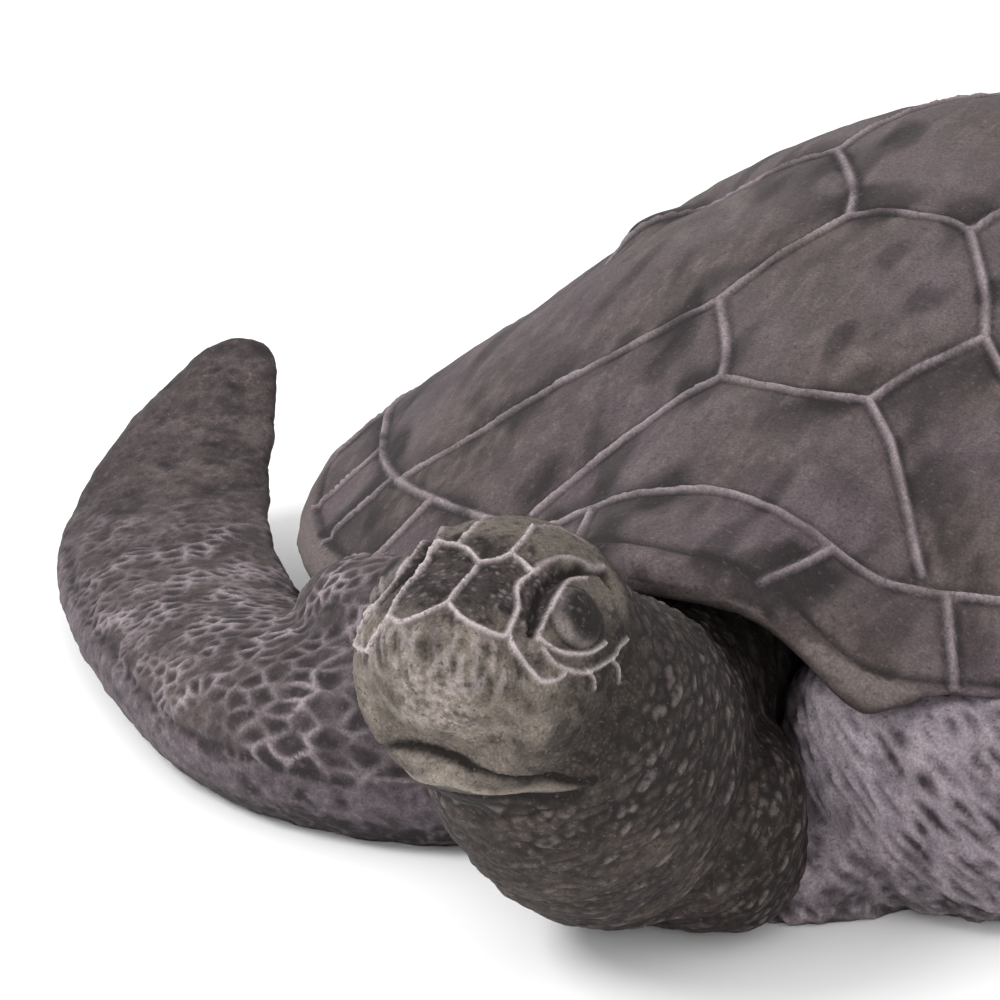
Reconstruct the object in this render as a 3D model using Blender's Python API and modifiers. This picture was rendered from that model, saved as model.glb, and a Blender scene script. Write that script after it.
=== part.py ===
"""Sea turtle statue: one casting, modelled in metres, +Z up, head towards -Y.

The origin is on the ground under the middle of the carapace. The animal's left is +X.
Soft bulks for the shell, body, neck, head and flippers are fused into one skin, then the
seams of the shell, the plates of the head, the eyes and the mouth are carved into it.
"""

import math

import bmesh
import bpy
import numpy as np
from mathutils import Vector
from mathutils.kdtree import KDTree

# Driving dimensions of the shell.
SHELL_LENGTH = 0.600
SHELL_WIDTH = 0.478
SHELL_HEIGHT = 0.2045
SHELL_PEAK_BACK = 0.075
DOME_POWER = 1.80
SHOULDER_SWELL = 0.045
RIM_FRONT = 0.100
RIM_SIDE = 0.060
RIM_BACK = 0.058
NUCHAL_ARCH = 0.035
NUCHAL_SPREAD = 0.28
NUCHAL_FADE = 5.0
NUCHAL_NOTCH = 0.010
RIM_ROLL_HEIGHT = 0.0095
RIM_ROLL_WIDTH = 0.0070

# Sizes of the body under the shell.
BODY_WIDTH = 0.390
BODY_LENGTH = 0.490
BODY_DEPTH = 0.110
BODY_CENTRE_Y = 0.012
BODY_CENTRE_Z = 0.042

# Where the head is held, and its turn.
HEAD_CENTRE = (-0.017, -0.390, 0.131)
HEAD_PITCH = math.radians(14)
HEAD_YAW = math.radians(-2)

# The left front flipper lies further back than the right one.
LEFT_SET_BACK = 0.050
LEFT_SET_BACK_OVER = 0.075

# How much thicker a front flipper is along its leading edge, as a share.
FLIPPER_LEAD = 0.15

# How finely the skin is made, and how many triangles it keeps.
VOXEL = 0.0027
SMOOTH_ROUNDS = 9
RIM_SMOOTH_ROUNDS = 16
TRIANGLE_BUDGET = 9600
HEAD_DETAIL_REACH = 0.072
HEAD_DETAIL_WEIGHT = 0.5
HEAD_DETAIL_FACTOR = 0.03

# Seams of the shell: raised ridges with a shallow groove on both sides.
SEAM_HEIGHT = 0.0024
SEAM_HALF_WIDTH = 0.0030
SEAM_GROOVE_SHARE = 0.35
SEAM_GROOVE_OFFSET = 2.1
SEAM_TOP_TOLERANCE = 0.010

# The line inside the edge plates, as a share of the way out, with a dip above the neck.
MARGINAL_FRONT = 0.888
MARGINAL_SIDE = 0.912
MARGINAL_DIP = 0.033
MARGINAL_DIP_SPREAD = 0.14
SPUR_ANGLES = (12.5, 23.5, 36, 48, 60, 73, 86, 99, 112, 125, 138, 151, 165)
SPUR_SLANT = (-4.0, 1.5)

# Seams of one half of the shell as plan points, x to the left and y to the tail.
HALF_SEAMS = (
    ((0.000, -0.173), (0.016, -0.172), (0.030, -0.168)),
    ((0.030, -0.168), (0.045, -0.184), (0.060, -0.207), (0.072, -0.226), (0.078, -0.235)),
    ((0.030, -0.168), (0.038, -0.144), (0.055, -0.110)),
    ((0.055, -0.110), (0.046, -0.086), (0.034, -0.063), (0.0255, -0.048)),
    ((0.000, -0.044), (0.013, -0.044), (0.0255, -0.048)),
    ((0.0255, -0.048), (0.034, -0.022), (0.058, 0.022)),
    ((0.055, -0.110), (0.072, -0.129), (0.091, -0.144), (0.110, -0.157), (0.132, -0.170), (0.160, -0.181)),
    ((0.058, 0.022), (0.050, 0.054), (0.031, 0.088)),
    ((0.000, 0.091), (0.016, 0.091), (0.031, 0.088)),
    ((0.058, 0.022), (0.100, 0.014), (0.145, 0.000), (0.212, -0.006)),
    ((0.031, 0.088), (0.038, 0.112), (0.052, 0.142)),
    ((0.052, 0.142), (0.042, 0.168), (0.026, 0.196)),
    ((0.052, 0.142), (0.090, 0.150), (0.130, 0.150), (0.182, 0.142)),
    ((0.000, 0.199), (0.014, 0.199), (0.026, 0.196)),
    ((0.026, 0.196), (0.048, 0.222), (0.080, 0.252)),
)

# Plates and lines of one half of the head, as forward, left and up from the head's centre.
HALF_PLATES = (
    ((0.036, 0.000, 0.038), (0.048, 0.000, 0.030), (0.058, 0.000, 0.020)),
    ((0.036, 0.000, 0.038), (0.028, 0.0095, 0.0395)),
    ((0.028, 0.0095, 0.0395), (0.027, 0.020, 0.0355), (0.036, 0.0205, 0.032), (0.045, 0.022, 0.025)),
    ((0.045, 0.022, 0.025), (0.053, 0.0215, 0.0145)),
    ((0.058, 0.000, 0.020), (0.057, 0.011, 0.0165), (0.053, 0.0215, 0.0145)),
    ((0.028, 0.0095, 0.0395), (0.010, 0.0105, 0.0430), (-0.006, 0.0150, 0.0440)),
    ((-0.006, 0.0150, 0.0440), (-0.014, 0.000, 0.0450)),
    ((-0.006, 0.0150, 0.0440), (-0.012, 0.0300, 0.0330)),
    ((0.027, 0.020, 0.0355), (0.011, 0.0265, 0.0355), (-0.004, 0.0310, 0.0320)),
    ((0.053, 0.0215, 0.0145), (0.047, 0.031, 0.004), (0.036, 0.039, -0.001)),
)
PLATE_HEIGHT = 0.0022
PLATE_HALF_WIDTH = 0.0022

MOUTH = ((0.052, 0.000, -0.0345), (0.050, 0.010, -0.0365), (0.043, 0.023, -0.039),
         (0.031, 0.033, -0.0395), (0.019, 0.039, -0.0395), (0.010, 0.043, -0.038))
CHIN = ((0.042, 0.000, -0.0480), (0.040, 0.010, -0.0485), (0.033, 0.022, -0.0490),
        (0.022, 0.034, -0.0475), (0.012, 0.041, -0.0425))
MOUTH_DEPTH = 0.0028
MOUTH_HALF_WIDTH = 0.0018
CHIN_DEPTH = 0.0022

CHIN_HALF_WIDTH = 0.0024

# Each eye is a ball in a groove, with a raised lid round it and a fold below.
EYE = (0.0225, 0.0385, 0.0175)
EYE_RADIUS = 0.0092
EYE_HEIGHT = 0.0030
EYE_GROOVE_GAP = 0.0006
EYE_GROOVE_DEPTH = 0.0022
EYE_GROOVE_HALF_WIDTH = 0.0014
LID_RADIUS = 0.0130
LID_HEIGHT = 0.0030
LID_HALF_WIDTH = 0.0020
FOLD_RADIUS = 0.0185
FOLD_HEIGHT = 0.0014
FOLD_HALF_WIDTH = 0.0017
FOLD_FADE = 0.008
NOSTRIL = (0.0605, 0.0060, 0.001)
NOSTRIL_DEPTH = 0.0020
NOSTRIL_HALF_WIDTH = 0.0018

# Where the head's carving ends, from its centre and along its length.
HEAD_CARVING_REACH = 0.075
HEAD_CARVING_BACK = -0.030

# Swellings and hollows of the shell's flank, as x, y, radius and height, on both sides.
SWELLS = (
    (0.160, 0.004, 0.034, -0.0065),
    (0.138, 0.010, 0.016, 0.0080),
    (0.110, 0.014, 0.020, -0.0040),
    (0.225, -0.072, 0.040, 0.0055),
)

# Folds of the neck in arcs round the head's centre, and how far they reach.
NECK_FOLD_SPACING = 0.014
NECK_FOLD_DEPTH = 0.0016
NECK_FOLD_FIRST = 0.062
NECK_FOLD_START = 0.058
NECK_FOLD_START_FADE = 0.010
NECK_FOLD_END = 0.150
NECK_FOLD_END_FADE = 0.040
NECK_FRONT_OF = -0.235
NECK_HALF_WIDTH = 0.085


def clear_scene():
    """Remove the objects that a new file holds."""
    for old in list(bpy.data.objects):
        bpy.data.objects.remove(old, do_unlink=True)


def rim_height(theta):
    """Height of the shell's edge at an angle round it, 0 at the front, without the arch."""
    ahead = np.cos(theta)
    lift = RIM_SIDE + (RIM_FRONT - RIM_SIDE) * np.maximum(0, ahead) ** 2
    return lift + (RIM_BACK - RIM_SIDE) * np.maximum(0, -ahead) ** 2


def dome_point(s, theta):
    """A point of the shell's top: s runs from 0 at the peak to 1 at the edge."""
    s = np.asarray(s, float)
    theta = np.asarray(theta, float)
    turn = np.arctan2(np.sin(theta), np.cos(theta))
    at_neck = np.exp(-(np.abs(turn / NUCHAL_SPREAD) ** 4)) * s ** NUCHAL_FADE
    notch = NUCHAL_NOTCH * at_neck
    x = s * SHELL_WIDTH / 2 * np.sin(theta) * (1 + SHOULDER_SWELL * np.cos(theta))
    y = -s * SHELL_LENGTH / 2 * np.cos(theta) + (1 - s) * SHELL_PEAK_BACK + notch
    edge = rim_height(theta)
    z = edge + (SHELL_HEIGHT - edge) * (1 - s ** DOME_POWER) + NUCHAL_ARCH * at_neck
    return np.stack([x, y, z], -1)


def new_object(name, mesh, collection):
    """An object of this mesh, linked into a collection."""
    made = bpy.data.objects.new(name, mesh)
    collection.objects.link(made)
    return made


def sphere_mesh(name, around, along, place):
    """A mesh from a UV sphere, with each unit point moved by the function place."""
    ball = bmesh.new()
    bmesh.ops.create_uvsphere(ball, u_segments=around, v_segments=along, radius=1)
    unit = np.array([v.co[:] for v in ball.verts])
    for vertex, co in zip(ball.verts, place(unit)):
        vertex.co = co
    bmesh.ops.recalc_face_normals(ball, faces=ball.faces)
    mesh = bpy.data.meshes.new(name)
    ball.to_mesh(mesh)
    ball.free()
    return mesh


def shell_mesh():
    """The domed shell with its rolled edge, closed below by a nearly flat underside."""
    top_share = 0.62
    roll_share = 0.14

    def place(unit):
        down = np.arccos(np.clip(unit[:, 2], -1, 1)) / math.pi
        theta = np.arctan2(unit[:, 0], -unit[:, 1])
        on_top = down < top_share
        below = down > top_share + roll_share
        s = np.where(on_top, np.sin(0.5 * math.pi * down / top_share), 1.0)
        co = dome_point(s, theta)
        turn = math.pi * np.clip((down - top_share) / roll_share, 0, 1)
        outward = dome_point(1.0, theta) - dome_point(0.9, theta)
        outward[:, 2] = 0
        outward /= np.linalg.norm(outward, axis=1, keepdims=True)
        co = co + outward * (RIM_ROLL_WIDTH * np.sin(turn) ** 0.8)[:, None]
        co[:, 2] -= RIM_ROLL_HEIGHT * (1 - np.cos(turn))
        inward = np.clip((1 - down) / (1 - top_share - roll_share), 0, 1)[:, None]
        middle = np.array([0, SHELL_PEAK_BACK, 0])
        floor = middle + (co - middle) * inward
        floor[:, 2] = co[:, 2]
        return np.where(below[:, None], floor, co)

    return sphere_mesh("shell", 128, 96, place)


def body_mesh():
    """The trunk that fills the shell and rests on the ground."""

    def place(unit):
        size = np.array([BODY_WIDTH / 2, BODY_LENGTH / 2, BODY_DEPTH / 2])
        return unit * size + np.array([0, BODY_CENTRE_Y, BODY_CENTRE_Z])

    return sphere_mesh("body", 64, 32, place)


def along_path(stations, t):
    """Catmull-Rom values through the stations, for each t from 0 to 1."""
    stations = np.asarray(stations, float)
    ends = np.vstack([2 * stations[0] - stations[1], stations, 2 * stations[-1] - stations[-2]])
    where = np.clip(t, 0, 1) * (len(stations) - 1)
    index = np.minimum(where.astype(int), len(stations) - 2)
    f = (where - index)[:, None]
    a, b, c, d = (ends[index + k] for k in range(4))
    square = 2 * a - 5 * b + 4 * c - d
    cube = 3 * b - a - 3 * c + d
    return 0.5 * (2 * b + (c - a) * f + square * f ** 2 + cube * f ** 3)


def limb_mesh(name, stations, blunt=4.0, square=2.0, lead=0.0, around=40, along=56):
    """A soft limb through stations of x, y, z, half width, half thickness and roll in degrees.

    blunt rounds the ends and square the sections, both as superellipse powers. lead thickens
    the side that lies to the left of the path and thins the other one.
    """

    def place(unit):
        t = (1 - unit[:, 2]) / 2
        here = along_path(stations, t)
        step = 1e-3
        ahead = along_path(stations, np.minimum(t + step, 1)) - along_path(stations, np.maximum(t - step, 0))
        forward = ahead[:, :3] / np.linalg.norm(ahead[:, :3], axis=1, keepdims=True)
        side = np.cross([0.0, 0.0, 1.0], forward)
        side /= np.maximum(np.linalg.norm(side, axis=1, keepdims=True), 1e-9)
        up = np.cross(forward, side)
        roll = np.radians(here[:, 5:6])
        side, up = side * np.cos(roll) + up * np.sin(roll), up * np.cos(roll) - side * np.sin(roll)
        reach = np.hypot(unit[:, 0], unit[:, 1])
        c = np.where(reach > 1e-6, unit[:, 0] / np.maximum(reach, 1e-6), 0)
        s = np.where(reach > 1e-6, unit[:, 1] / np.maximum(reach, 1e-6), 0)
        c = np.sign(c) * np.abs(c) ** (2 / square)
        s = np.sign(s) * np.abs(s) ** (2 / square)
        taper = np.where(reach > 1e-6, (1 - np.abs(unit[:, 2]) ** blunt) ** (1 / blunt), 0)
        width = (c * here[:, 3] * taper)[:, None]
        thick = (s * here[:, 4] * taper * (1 + lead * c))[:, None]
        return here[:, :3] + side * width + up * thick

    return sphere_mesh(name, around, along, place)


NECK = (
    (-0.005, -0.200, 0.062, 0.034, 0.052, 0),
    (-0.006, -0.264, 0.055, 0.037, 0.052, 0),
    (-0.005, -0.318, 0.062, 0.049, 0.060, 0),
    (-0.005, -0.355, 0.085, 0.052, 0.058, 0),
    (-0.010, -0.380, 0.112, 0.048, 0.048, 0),
    (-0.017, -0.395, 0.130, 0.040, 0.038, 0),
)

THROAT = (
    (0.000, -0.240, 0.036, 0.028, 0.038, 0),
    (0.008, -0.277, 0.036, 0.038, 0.038, 0),
    (0.018, -0.312, 0.036, 0.044, 0.037, 0),
    (0.022, -0.344, 0.036, 0.032, 0.031, 0),
)

SHOULDER = (
    (0.030, -0.236, 0.050, 0.034, 0.046, 0),
    (0.078, -0.238, 0.049, 0.046, 0.052, 0),
    (0.116, -0.236, 0.048, 0.047, 0.050, 0),
    (0.150, -0.209, 0.045, 0.040, 0.038, 0),
    (0.170, -0.184, 0.042, 0.030, 0.024, 0),
)

CHEST = (
    (-0.010, -0.262, 0.012, 0.034, 0.020, 0),
    (0.042, -0.266, 0.012, 0.034, 0.021, 0),
    (0.078, -0.240, 0.012, 0.026, 0.020, 0),
    (0.120, -0.222, 0.012, 0.026, 0.018, 0),
)

FRONT_FLIPPER = (
    (0.022, -0.200, 0.040, 0.052, 0.049, 0),
    (0.076, -0.240, 0.037, 0.055, 0.049, 2),
    (0.120, -0.256, 0.035, 0.056, 0.043, 5),
    (0.1755, -0.2470, 0.029, 0.0505, 0.032, 8),
    (0.2330, -0.2030, 0.0275, 0.0450, 0.0225, 11),
    (0.2770, -0.1525, 0.031, 0.0455, 0.016, 17),
    (0.3060, -0.0990, 0.036, 0.0485, 0.014, 17),
    (0.313, -0.054, 0.056, 0.044, 0.013, 8),
    (0.310, -0.011, 0.085, 0.034, 0.011, 0),
)

HIND_FLIPPER = (
    (0.090, 0.170, 0.045, 0.040, 0.034, 0),
    (0.130, 0.230, 0.034, 0.040, 0.026, 0),
    (0.170, 0.290, 0.022, 0.042, 0.016, 0),
    (0.195, 0.340, 0.014, 0.042, 0.010, 0),
    (0.205, 0.385, 0.008, 0.024, 0.007, 0),
)

TAIL = (
    (0.0, 0.200, 0.045, 0.040, 0.034, 0),
    (0.0, 0.265, 0.028, 0.028, 0.022, 0),
    (0.0, 0.320, 0.014, 0.018, 0.013, 0),
    (0.0, 0.360, 0.008, 0.008, 0.007, 0),
)

# Head stations along its own length, before it is turned: forward, up, half width, half height.
HEAD = (
    (-0.055, -0.002, 0.034, 0.034),
    (-0.030, -0.002, 0.042, 0.043),
    (0.000, -0.002, 0.046, 0.048),
    (0.026, -0.0045, 0.043, 0.0435),
    (0.046, -0.0040, 0.0365, 0.0323),
    (0.060, -0.0098, 0.0252, 0.0238),
)

JAW = (
    (-0.035, -0.018, 0.036, 0.030),
    (-0.005, -0.026, 0.040, 0.030),
    (0.017, -0.032, 0.030, 0.024),
    (0.031, -0.035, 0.018, 0.018),
)


def head_axes():
    """The head's forward, left and up directions in the world."""
    forward = Vector((math.sin(HEAD_YAW), -math.cos(HEAD_YAW), math.tan(HEAD_PITCH))).normalized()
    left = Vector((0, 0, 1)).cross(forward).normalized()
    up = forward.cross(left)
    return np.array(forward), np.array(left), np.array(up)


def head_stations(profile):
    """The stations of a part of the head in the world, with level sections."""
    forward, left, up = head_axes()
    centre = np.array(HEAD_CENTRE)
    rows = []
    for ahead, rise, wide, high in profile:
        rows.append((*(centre + forward * ahead + up * rise), wide, high, 0))
    return rows


def mirrored(stations):
    """The stations of the other side's limb."""
    return [(-x, y, z, wide, thick, -roll) for x, y, z, wide, thick, roll in stations]


def set_back(stations, distance, over):
    """The same limb, led towards the tail within the first stretch outwards."""
    x0 = stations[0][0]
    rows = []
    for x, y, z, wide, thick, roll in stations:
        rows.append((x, y + distance * min(1, (x - x0) / over), z, wide, thick, roll))
    return rows


def fused(pieces, collection):
    """One skin round all the pieces, as a mesh of even small faces."""
    joined = bmesh.new()
    for mesh in pieces:
        joined.from_mesh(mesh)
    mesh = bpy.data.meshes.new("bulk")
    joined.to_mesh(mesh)
    joined.free()
    holder = new_object("bulk", mesh, collection)
    remesh = holder.modifiers.new("skin", "REMESH")
    remesh.mode = "VOXEL"
    remesh.voxel_size = VOXEL
    remesh.adaptivity = 0
    skin = evaluated_mesh(holder)
    bpy.data.objects.remove(holder, do_unlink=True)
    return skin


def evaluated_mesh(holder):
    """The object's mesh with its modifiers applied."""
    bpy.context.view_layer.update()
    graph = bpy.context.evaluated_depsgraph_get()
    return bpy.data.meshes.new_from_object(holder.evaluated_get(graph))


def positions(mesh):
    """The mesh's points, one row each."""
    flat = np.empty(len(mesh.vertices) * 3)
    mesh.vertices.foreach_get("co", flat)
    return flat.reshape(-1, 3)


def move_points(mesh, co):
    """Give the mesh's points these places."""
    mesh.vertices.foreach_set("co", co.ravel())
    mesh.update()


def normals(mesh):
    """The mesh's point normals, one row each."""
    flat = np.empty(len(mesh.vertices) * 3)
    mesh.vertices.foreach_get("normal", flat)
    return flat.reshape(-1, 3)


def relax(mesh, rounds, weight):
    """Smooth the mesh by moving each point towards the mean of its neighbours."""
    ends = np.empty(len(mesh.edges) * 2, int)
    mesh.edges.foreach_get("vertices", ends)
    ends = ends.reshape(-1, 2)
    co = positions(mesh)
    count = np.bincount(ends.ravel(), minlength=len(co))[:, None]
    for _ in range(rounds):
        total = np.zeros_like(co)
        for axis in range(3):
            total[:, axis] += np.bincount(ends[:, 0], co[ends[:, 1], axis], len(co))
            total[:, axis] += np.bincount(ends[:, 1], co[ends[:, 0], axis], len(co))
        co += (total / np.maximum(count, 1) - co) * weight[:, None]
    move_points(mesh, co)


def shell_polar(x, y):
    """How far out, 0 to 1, and at what angle a plan point lies on the shell."""
    s = np.hypot(x / (SHELL_WIDTH / 2), y / (SHELL_LENGTH / 2))
    for _ in range(16):
        ahead = ((1 - s) * SHELL_PEAK_BACK - y) / (SHELL_LENGTH / 2)
        swell = 1 + SHOULDER_SWELL * ahead / np.maximum(s, 1e-3)
        across = x / (SHELL_WIDTH / 2) / swell
        s = np.hypot(ahead, across)
    return s, np.arctan2(across, ahead)


def resampled(points, spacing):
    """Points every spacing along a polyline with any number of columns."""
    points = np.asarray(points, float)
    steps = np.linalg.norm(np.diff(points, axis=0), axis=1)
    at = np.concatenate([[0], np.cumsum(steps)])
    wanted = np.linspace(0, at[-1], max(2, int(at[-1] / spacing) + 1))
    return np.stack([np.interp(wanted, at, points[:, k]) for k in range(points.shape[1])], -1)


def smooth_line(points, spacing):
    """A Catmull-Rom curve through the points, resampled."""
    t = np.linspace(0, 1, 12 * len(points))
    return resampled(along_path(points, t), spacing)


def both_sides(line):
    """The line and its mirror image across the middle."""
    flip = np.ones(line.shape[1])
    flip[0 if line.shape[1] == 2 else 1] = -1
    return [line, line * flip]


def nearest(points, line_points):
    """Distance of each point to the nearest of the line points."""
    tree = KDTree(len(line_points))
    for i, co in enumerate(line_points):
        tree.insert(co, i)
    tree.balance()
    return np.array([tree.find(co)[2] for co in points])


def ridge(distance, height, half_width):
    """A rounded ridge with a shallow groove on both sides, by distance to its line."""
    r = distance / half_width
    beside = np.exp(-((r - SEAM_GROOVE_OFFSET) ** 2))
    return height * (np.exp(-(r ** 2)) - SEAM_GROOVE_SHARE * beside)


def groove(distance, depth, half_width):
    """A rounded groove, by distance to its line."""
    return -depth * np.exp(-((distance / half_width) ** 2))


def marginal_share(theta):
    """How far out the line inside the edge plates runs, at an angle."""
    turn = np.arctan2(np.sin(theta), np.cos(theta))
    dip = MARGINAL_DIP * np.exp(-((turn / MARGINAL_DIP_SPREAD) ** 2))
    return MARGINAL_FRONT + (MARGINAL_SIDE - MARGINAL_FRONT) * np.sin(theta) ** 2 - dip


def shell_seam_points():
    """Points along every seam of the shell, on its top."""
    spacing = 0.0010
    found = []
    for half in HALF_SEAMS:
        for line in both_sides(smooth_line(half, spacing)):
            s, theta = shell_polar(line[:, 0], line[:, 1])
            found.append(dome_point(s, theta))
    theta = np.radians(np.arange(0, 360, 0.2))
    found.append(dome_point(marginal_share(theta), theta))
    out = np.linspace(0, 1, 50)
    for i, angle in enumerate(SPUR_ANGLES):
        slant = SPUR_SLANT[i] if i < len(SPUR_SLANT) else 0
        turn = np.radians(angle + slant * out)
        s = marginal_share(turn) + (1.0 - marginal_share(turn)) * out
        for side in (1, -1):
            found.append(dome_point(s, side * turn))
    return np.vstack(found)


def shell_relief(co):
    """Height of the shell's seams at each point, 0 off the shell's top."""
    s, theta = shell_polar(co[:, 0], co[:, 1])
    above = np.abs(co[:, 2] - dome_point(np.minimum(s, 1), theta)[:, 2])
    on_top = (s < 1.03) & (above < SEAM_TOP_TOLERANCE)
    relief = np.zeros(len(co))
    relief[on_top] = ridge(nearest(co[on_top], shell_seam_points()), SEAM_HEIGHT, SEAM_HALF_WIDTH)
    for x, y, radius, height in SWELLS:
        gap = np.hypot(np.abs(co[:, 0]) - x, co[:, 1] - y)
        relief += on_top * height * np.exp(-((gap / radius) ** 2))
    return relief


def head_place(co):
    """Each point as forward, left and up from the head's centre."""
    forward, left, up = head_axes()
    return (co - np.array(HEAD_CENTRE)) @ np.stack([forward, left, up], 1)


def head_distance(place, lines):
    """Distance over the head's surface from each place to the lines, by direction."""
    reach = np.linalg.norm(place, axis=1)
    points = np.vstack(lines)
    points = points / np.linalg.norm(points, axis=1, keepdims=True)
    return nearest(place / reach[:, None], points) * reach


def head_lines(halves):
    """The lines of both sides of the head."""
    found = []
    for half in halves:
        found.extend(both_sides(smooth_line(half, 0.0005)))
    return found


def eye_relief(place):
    """Eyeball, lids and the fold under them, on both sides."""
    relief = np.zeros(len(place))
    for side in (1, -1):
        centre = np.array(EYE) * (1, side, 1)
        gap = head_distance(place, [centre[None]])
        ball = np.sqrt(np.maximum(0, 1 - (gap / EYE_RADIUS) ** 2))
        relief += EYE_HEIGHT * ball
        relief += groove(gap - EYE_RADIUS - EYE_GROOVE_GAP, EYE_GROOVE_DEPTH, EYE_GROOVE_HALF_WIDTH)
        relief -= groove(gap - LID_RADIUS, LID_HEIGHT, LID_HALF_WIDTH)
        under = np.clip((centre[2] - place[:, 2]) / FOLD_FADE, 0, 1)
        relief -= under * groove(gap - FOLD_RADIUS, FOLD_HEIGHT, FOLD_HALF_WIDTH)
    return relief


def head_relief(co):
    """Height of the head's carving at each point, 0 off the head."""
    place = head_place(co)
    reach = np.linalg.norm(place, axis=1)
    relief = np.zeros(len(co))
    on_head = (reach < HEAD_CARVING_REACH) & (place[:, 0] > HEAD_CARVING_BACK)
    near = place[on_head]
    made = ridge(head_distance(near, head_lines(HALF_PLATES)), PLATE_HEIGHT, PLATE_HALF_WIDTH)
    made += eye_relief(near)
    made += groove(head_distance(near, head_lines([MOUTH])), MOUTH_DEPTH, MOUTH_HALF_WIDTH)
    made += groove(head_distance(near, head_lines([CHIN])), CHIN_DEPTH, CHIN_HALF_WIDTH)
    for side in (1, -1):
        gap = head_distance(near, [np.array([NOSTRIL]) * (1, side, 1)])
        made += groove(gap, NOSTRIL_DEPTH, NOSTRIL_HALF_WIDTH)
    relief[on_head] = made
    return relief


def neck_relief(co):
    """Folds of the neck's skin, in arcs round the back of the jaw."""
    place = head_place(co)
    reach = np.linalg.norm(place, axis=1)
    wave = np.cos(2 * math.pi * (reach - NECK_FOLD_FIRST) / NECK_FOLD_SPACING)
    start = np.clip((reach - NECK_FOLD_START) / NECK_FOLD_START_FADE, 0, 1)
    end = np.clip((NECK_FOLD_END - reach) / NECK_FOLD_END_FADE, 0, 1)
    on_neck = (co[:, 1] < NECK_FRONT_OF) & (np.abs(co[:, 0]) < NECK_HALF_WIDTH)
    return np.where(on_neck, NECK_FOLD_DEPTH * 0.5 * (wave - 1) * start * end, 0)


def cut_flat(mesh):
    """Cut the mesh off level with the ground and close it there."""
    body = bmesh.new()
    body.from_mesh(mesh)
    everything = body.verts[:] + body.edges[:] + body.faces[:]
    bmesh.ops.bisect_plane(body, geom=everything, plane_co=(0, 0, 0), plane_no=(0, 0, 1), clear_inner=True)
    rim = [edge for edge in body.edges if edge.is_boundary]
    bmesh.ops.holes_fill(body, edges=rim, sides=0)
    bmesh.ops.triangulate(body, faces=body.faces)
    body.to_mesh(mesh)
    body.free()


def thinned(mesh, collection):
    """The same surface with no more triangles than the budget."""
    holder = new_object("dense", mesh, collection)
    fewer = holder.modifiers.new("fewer", "DECIMATE")
    fewer.ratio = TRIANGLE_BUDGET / len(mesh.polygons)
    fewer.use_collapse_triangulate = True
    keep = holder.vertex_groups.new(name="keep")
    reach = np.linalg.norm(head_place(positions(mesh)), axis=1)
    on_head = np.flatnonzero(reach < HEAD_DETAIL_REACH).tolist()
    keep.add(list(range(len(mesh.vertices))), 1.0, "REPLACE")
    keep.add(on_head, HEAD_DETAIL_WEIGHT, "REPLACE")
    fewer.vertex_group = "keep"
    fewer.vertex_group_factor = HEAD_DETAIL_FACTOR
    found = evaluated_mesh(holder)
    bpy.data.objects.remove(holder, do_unlink=True)
    co = positions(found)
    co[co[:, 2] < 0.0005, 2] = 0
    move_points(found, co)
    return found


def stone_material():
    """Dark cast stone with a brown-violet tone."""
    made = bpy.data.materials.new("cast_stone")
    made.use_nodes = True
    shader = made.node_tree.nodes["Principled BSDF"]
    shader.inputs["Base Color"].default_value = (0.142, 0.122, 0.118, 1)
    shader.inputs["Roughness"].default_value = 0.72
    shader.inputs["Metallic"].default_value = 0.0
    return made


def build():
    """Make the statue and return its object."""
    clear_scene()
    collection = bpy.data.collections.new("sea_turtle_statue")
    bpy.context.scene.collection.children.link(collection)
    left_flipper = set_back(FRONT_FLIPPER, LEFT_SET_BACK, LEFT_SET_BACK_OVER)
    pieces = [
        shell_mesh(),
        body_mesh(),
        limb_mesh("neck", NECK, blunt=6, square=2.1),
        limb_mesh("throat", THROAT, blunt=3, square=3),
        limb_mesh("left_shoulder", SHOULDER, blunt=4, square=2.8),
        limb_mesh("right_shoulder", mirrored(SHOULDER), blunt=4, square=2.8),
        limb_mesh("left_chest", CHEST, blunt=4, square=3),
        limb_mesh("right_chest", mirrored(CHEST), blunt=4, square=3),
        limb_mesh("head", head_stations(HEAD), blunt=3.5, around=48),
        limb_mesh("jaw", head_stations(JAW), blunt=3.0, around=48),
        limb_mesh("left_flipper", left_flipper, blunt=3, lead=-FLIPPER_LEAD),
        limb_mesh("right_flipper", mirrored(FRONT_FLIPPER), blunt=3, lead=FLIPPER_LEAD),
        limb_mesh("left_hind", HIND_FLIPPER, blunt=3),
        limb_mesh("right_hind", mirrored(HIND_FLIPPER), blunt=3),
        limb_mesh("tail", TAIL, blunt=3),
    ]
    skin = fused(pieces, collection)
    co = positions(skin)
    relax(skin, SMOOTH_ROUNDS, np.full(len(co), 0.5))
    s, _ = shell_polar(co[:, 0], co[:, 1])
    relax(skin, RIM_SMOOTH_ROUNDS, np.where(np.abs(s - 1) < 0.06, 0.5, 0.0))
    co = positions(skin)
    relief = shell_relief(co) + head_relief(co) + neck_relief(co)
    move_points(skin, co + normals(skin) * relief[:, None])
    cut_flat(skin)
    mesh = thinned(skin, collection)
    mesh.name = "sea_turtle"
    mesh.materials.append(stone_material())
    mesh.shade_smooth()
    return new_object("sea_turtle", mesh, collection)


if __name__ == "__main__":
    build()
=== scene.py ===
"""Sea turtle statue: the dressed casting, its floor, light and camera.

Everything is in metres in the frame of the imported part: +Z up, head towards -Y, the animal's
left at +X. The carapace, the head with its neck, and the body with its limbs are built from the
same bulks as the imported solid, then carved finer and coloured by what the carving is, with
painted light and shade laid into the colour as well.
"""

from __future__ import annotations

import logging
import math
from collections.abc import Callable
from dataclasses import dataclass, replace
from enum import Enum

import bmesh
import bpy
import numpy as np
from mathutils import Matrix, Vector, noise
from mathutils.kdtree import KDTree


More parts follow.
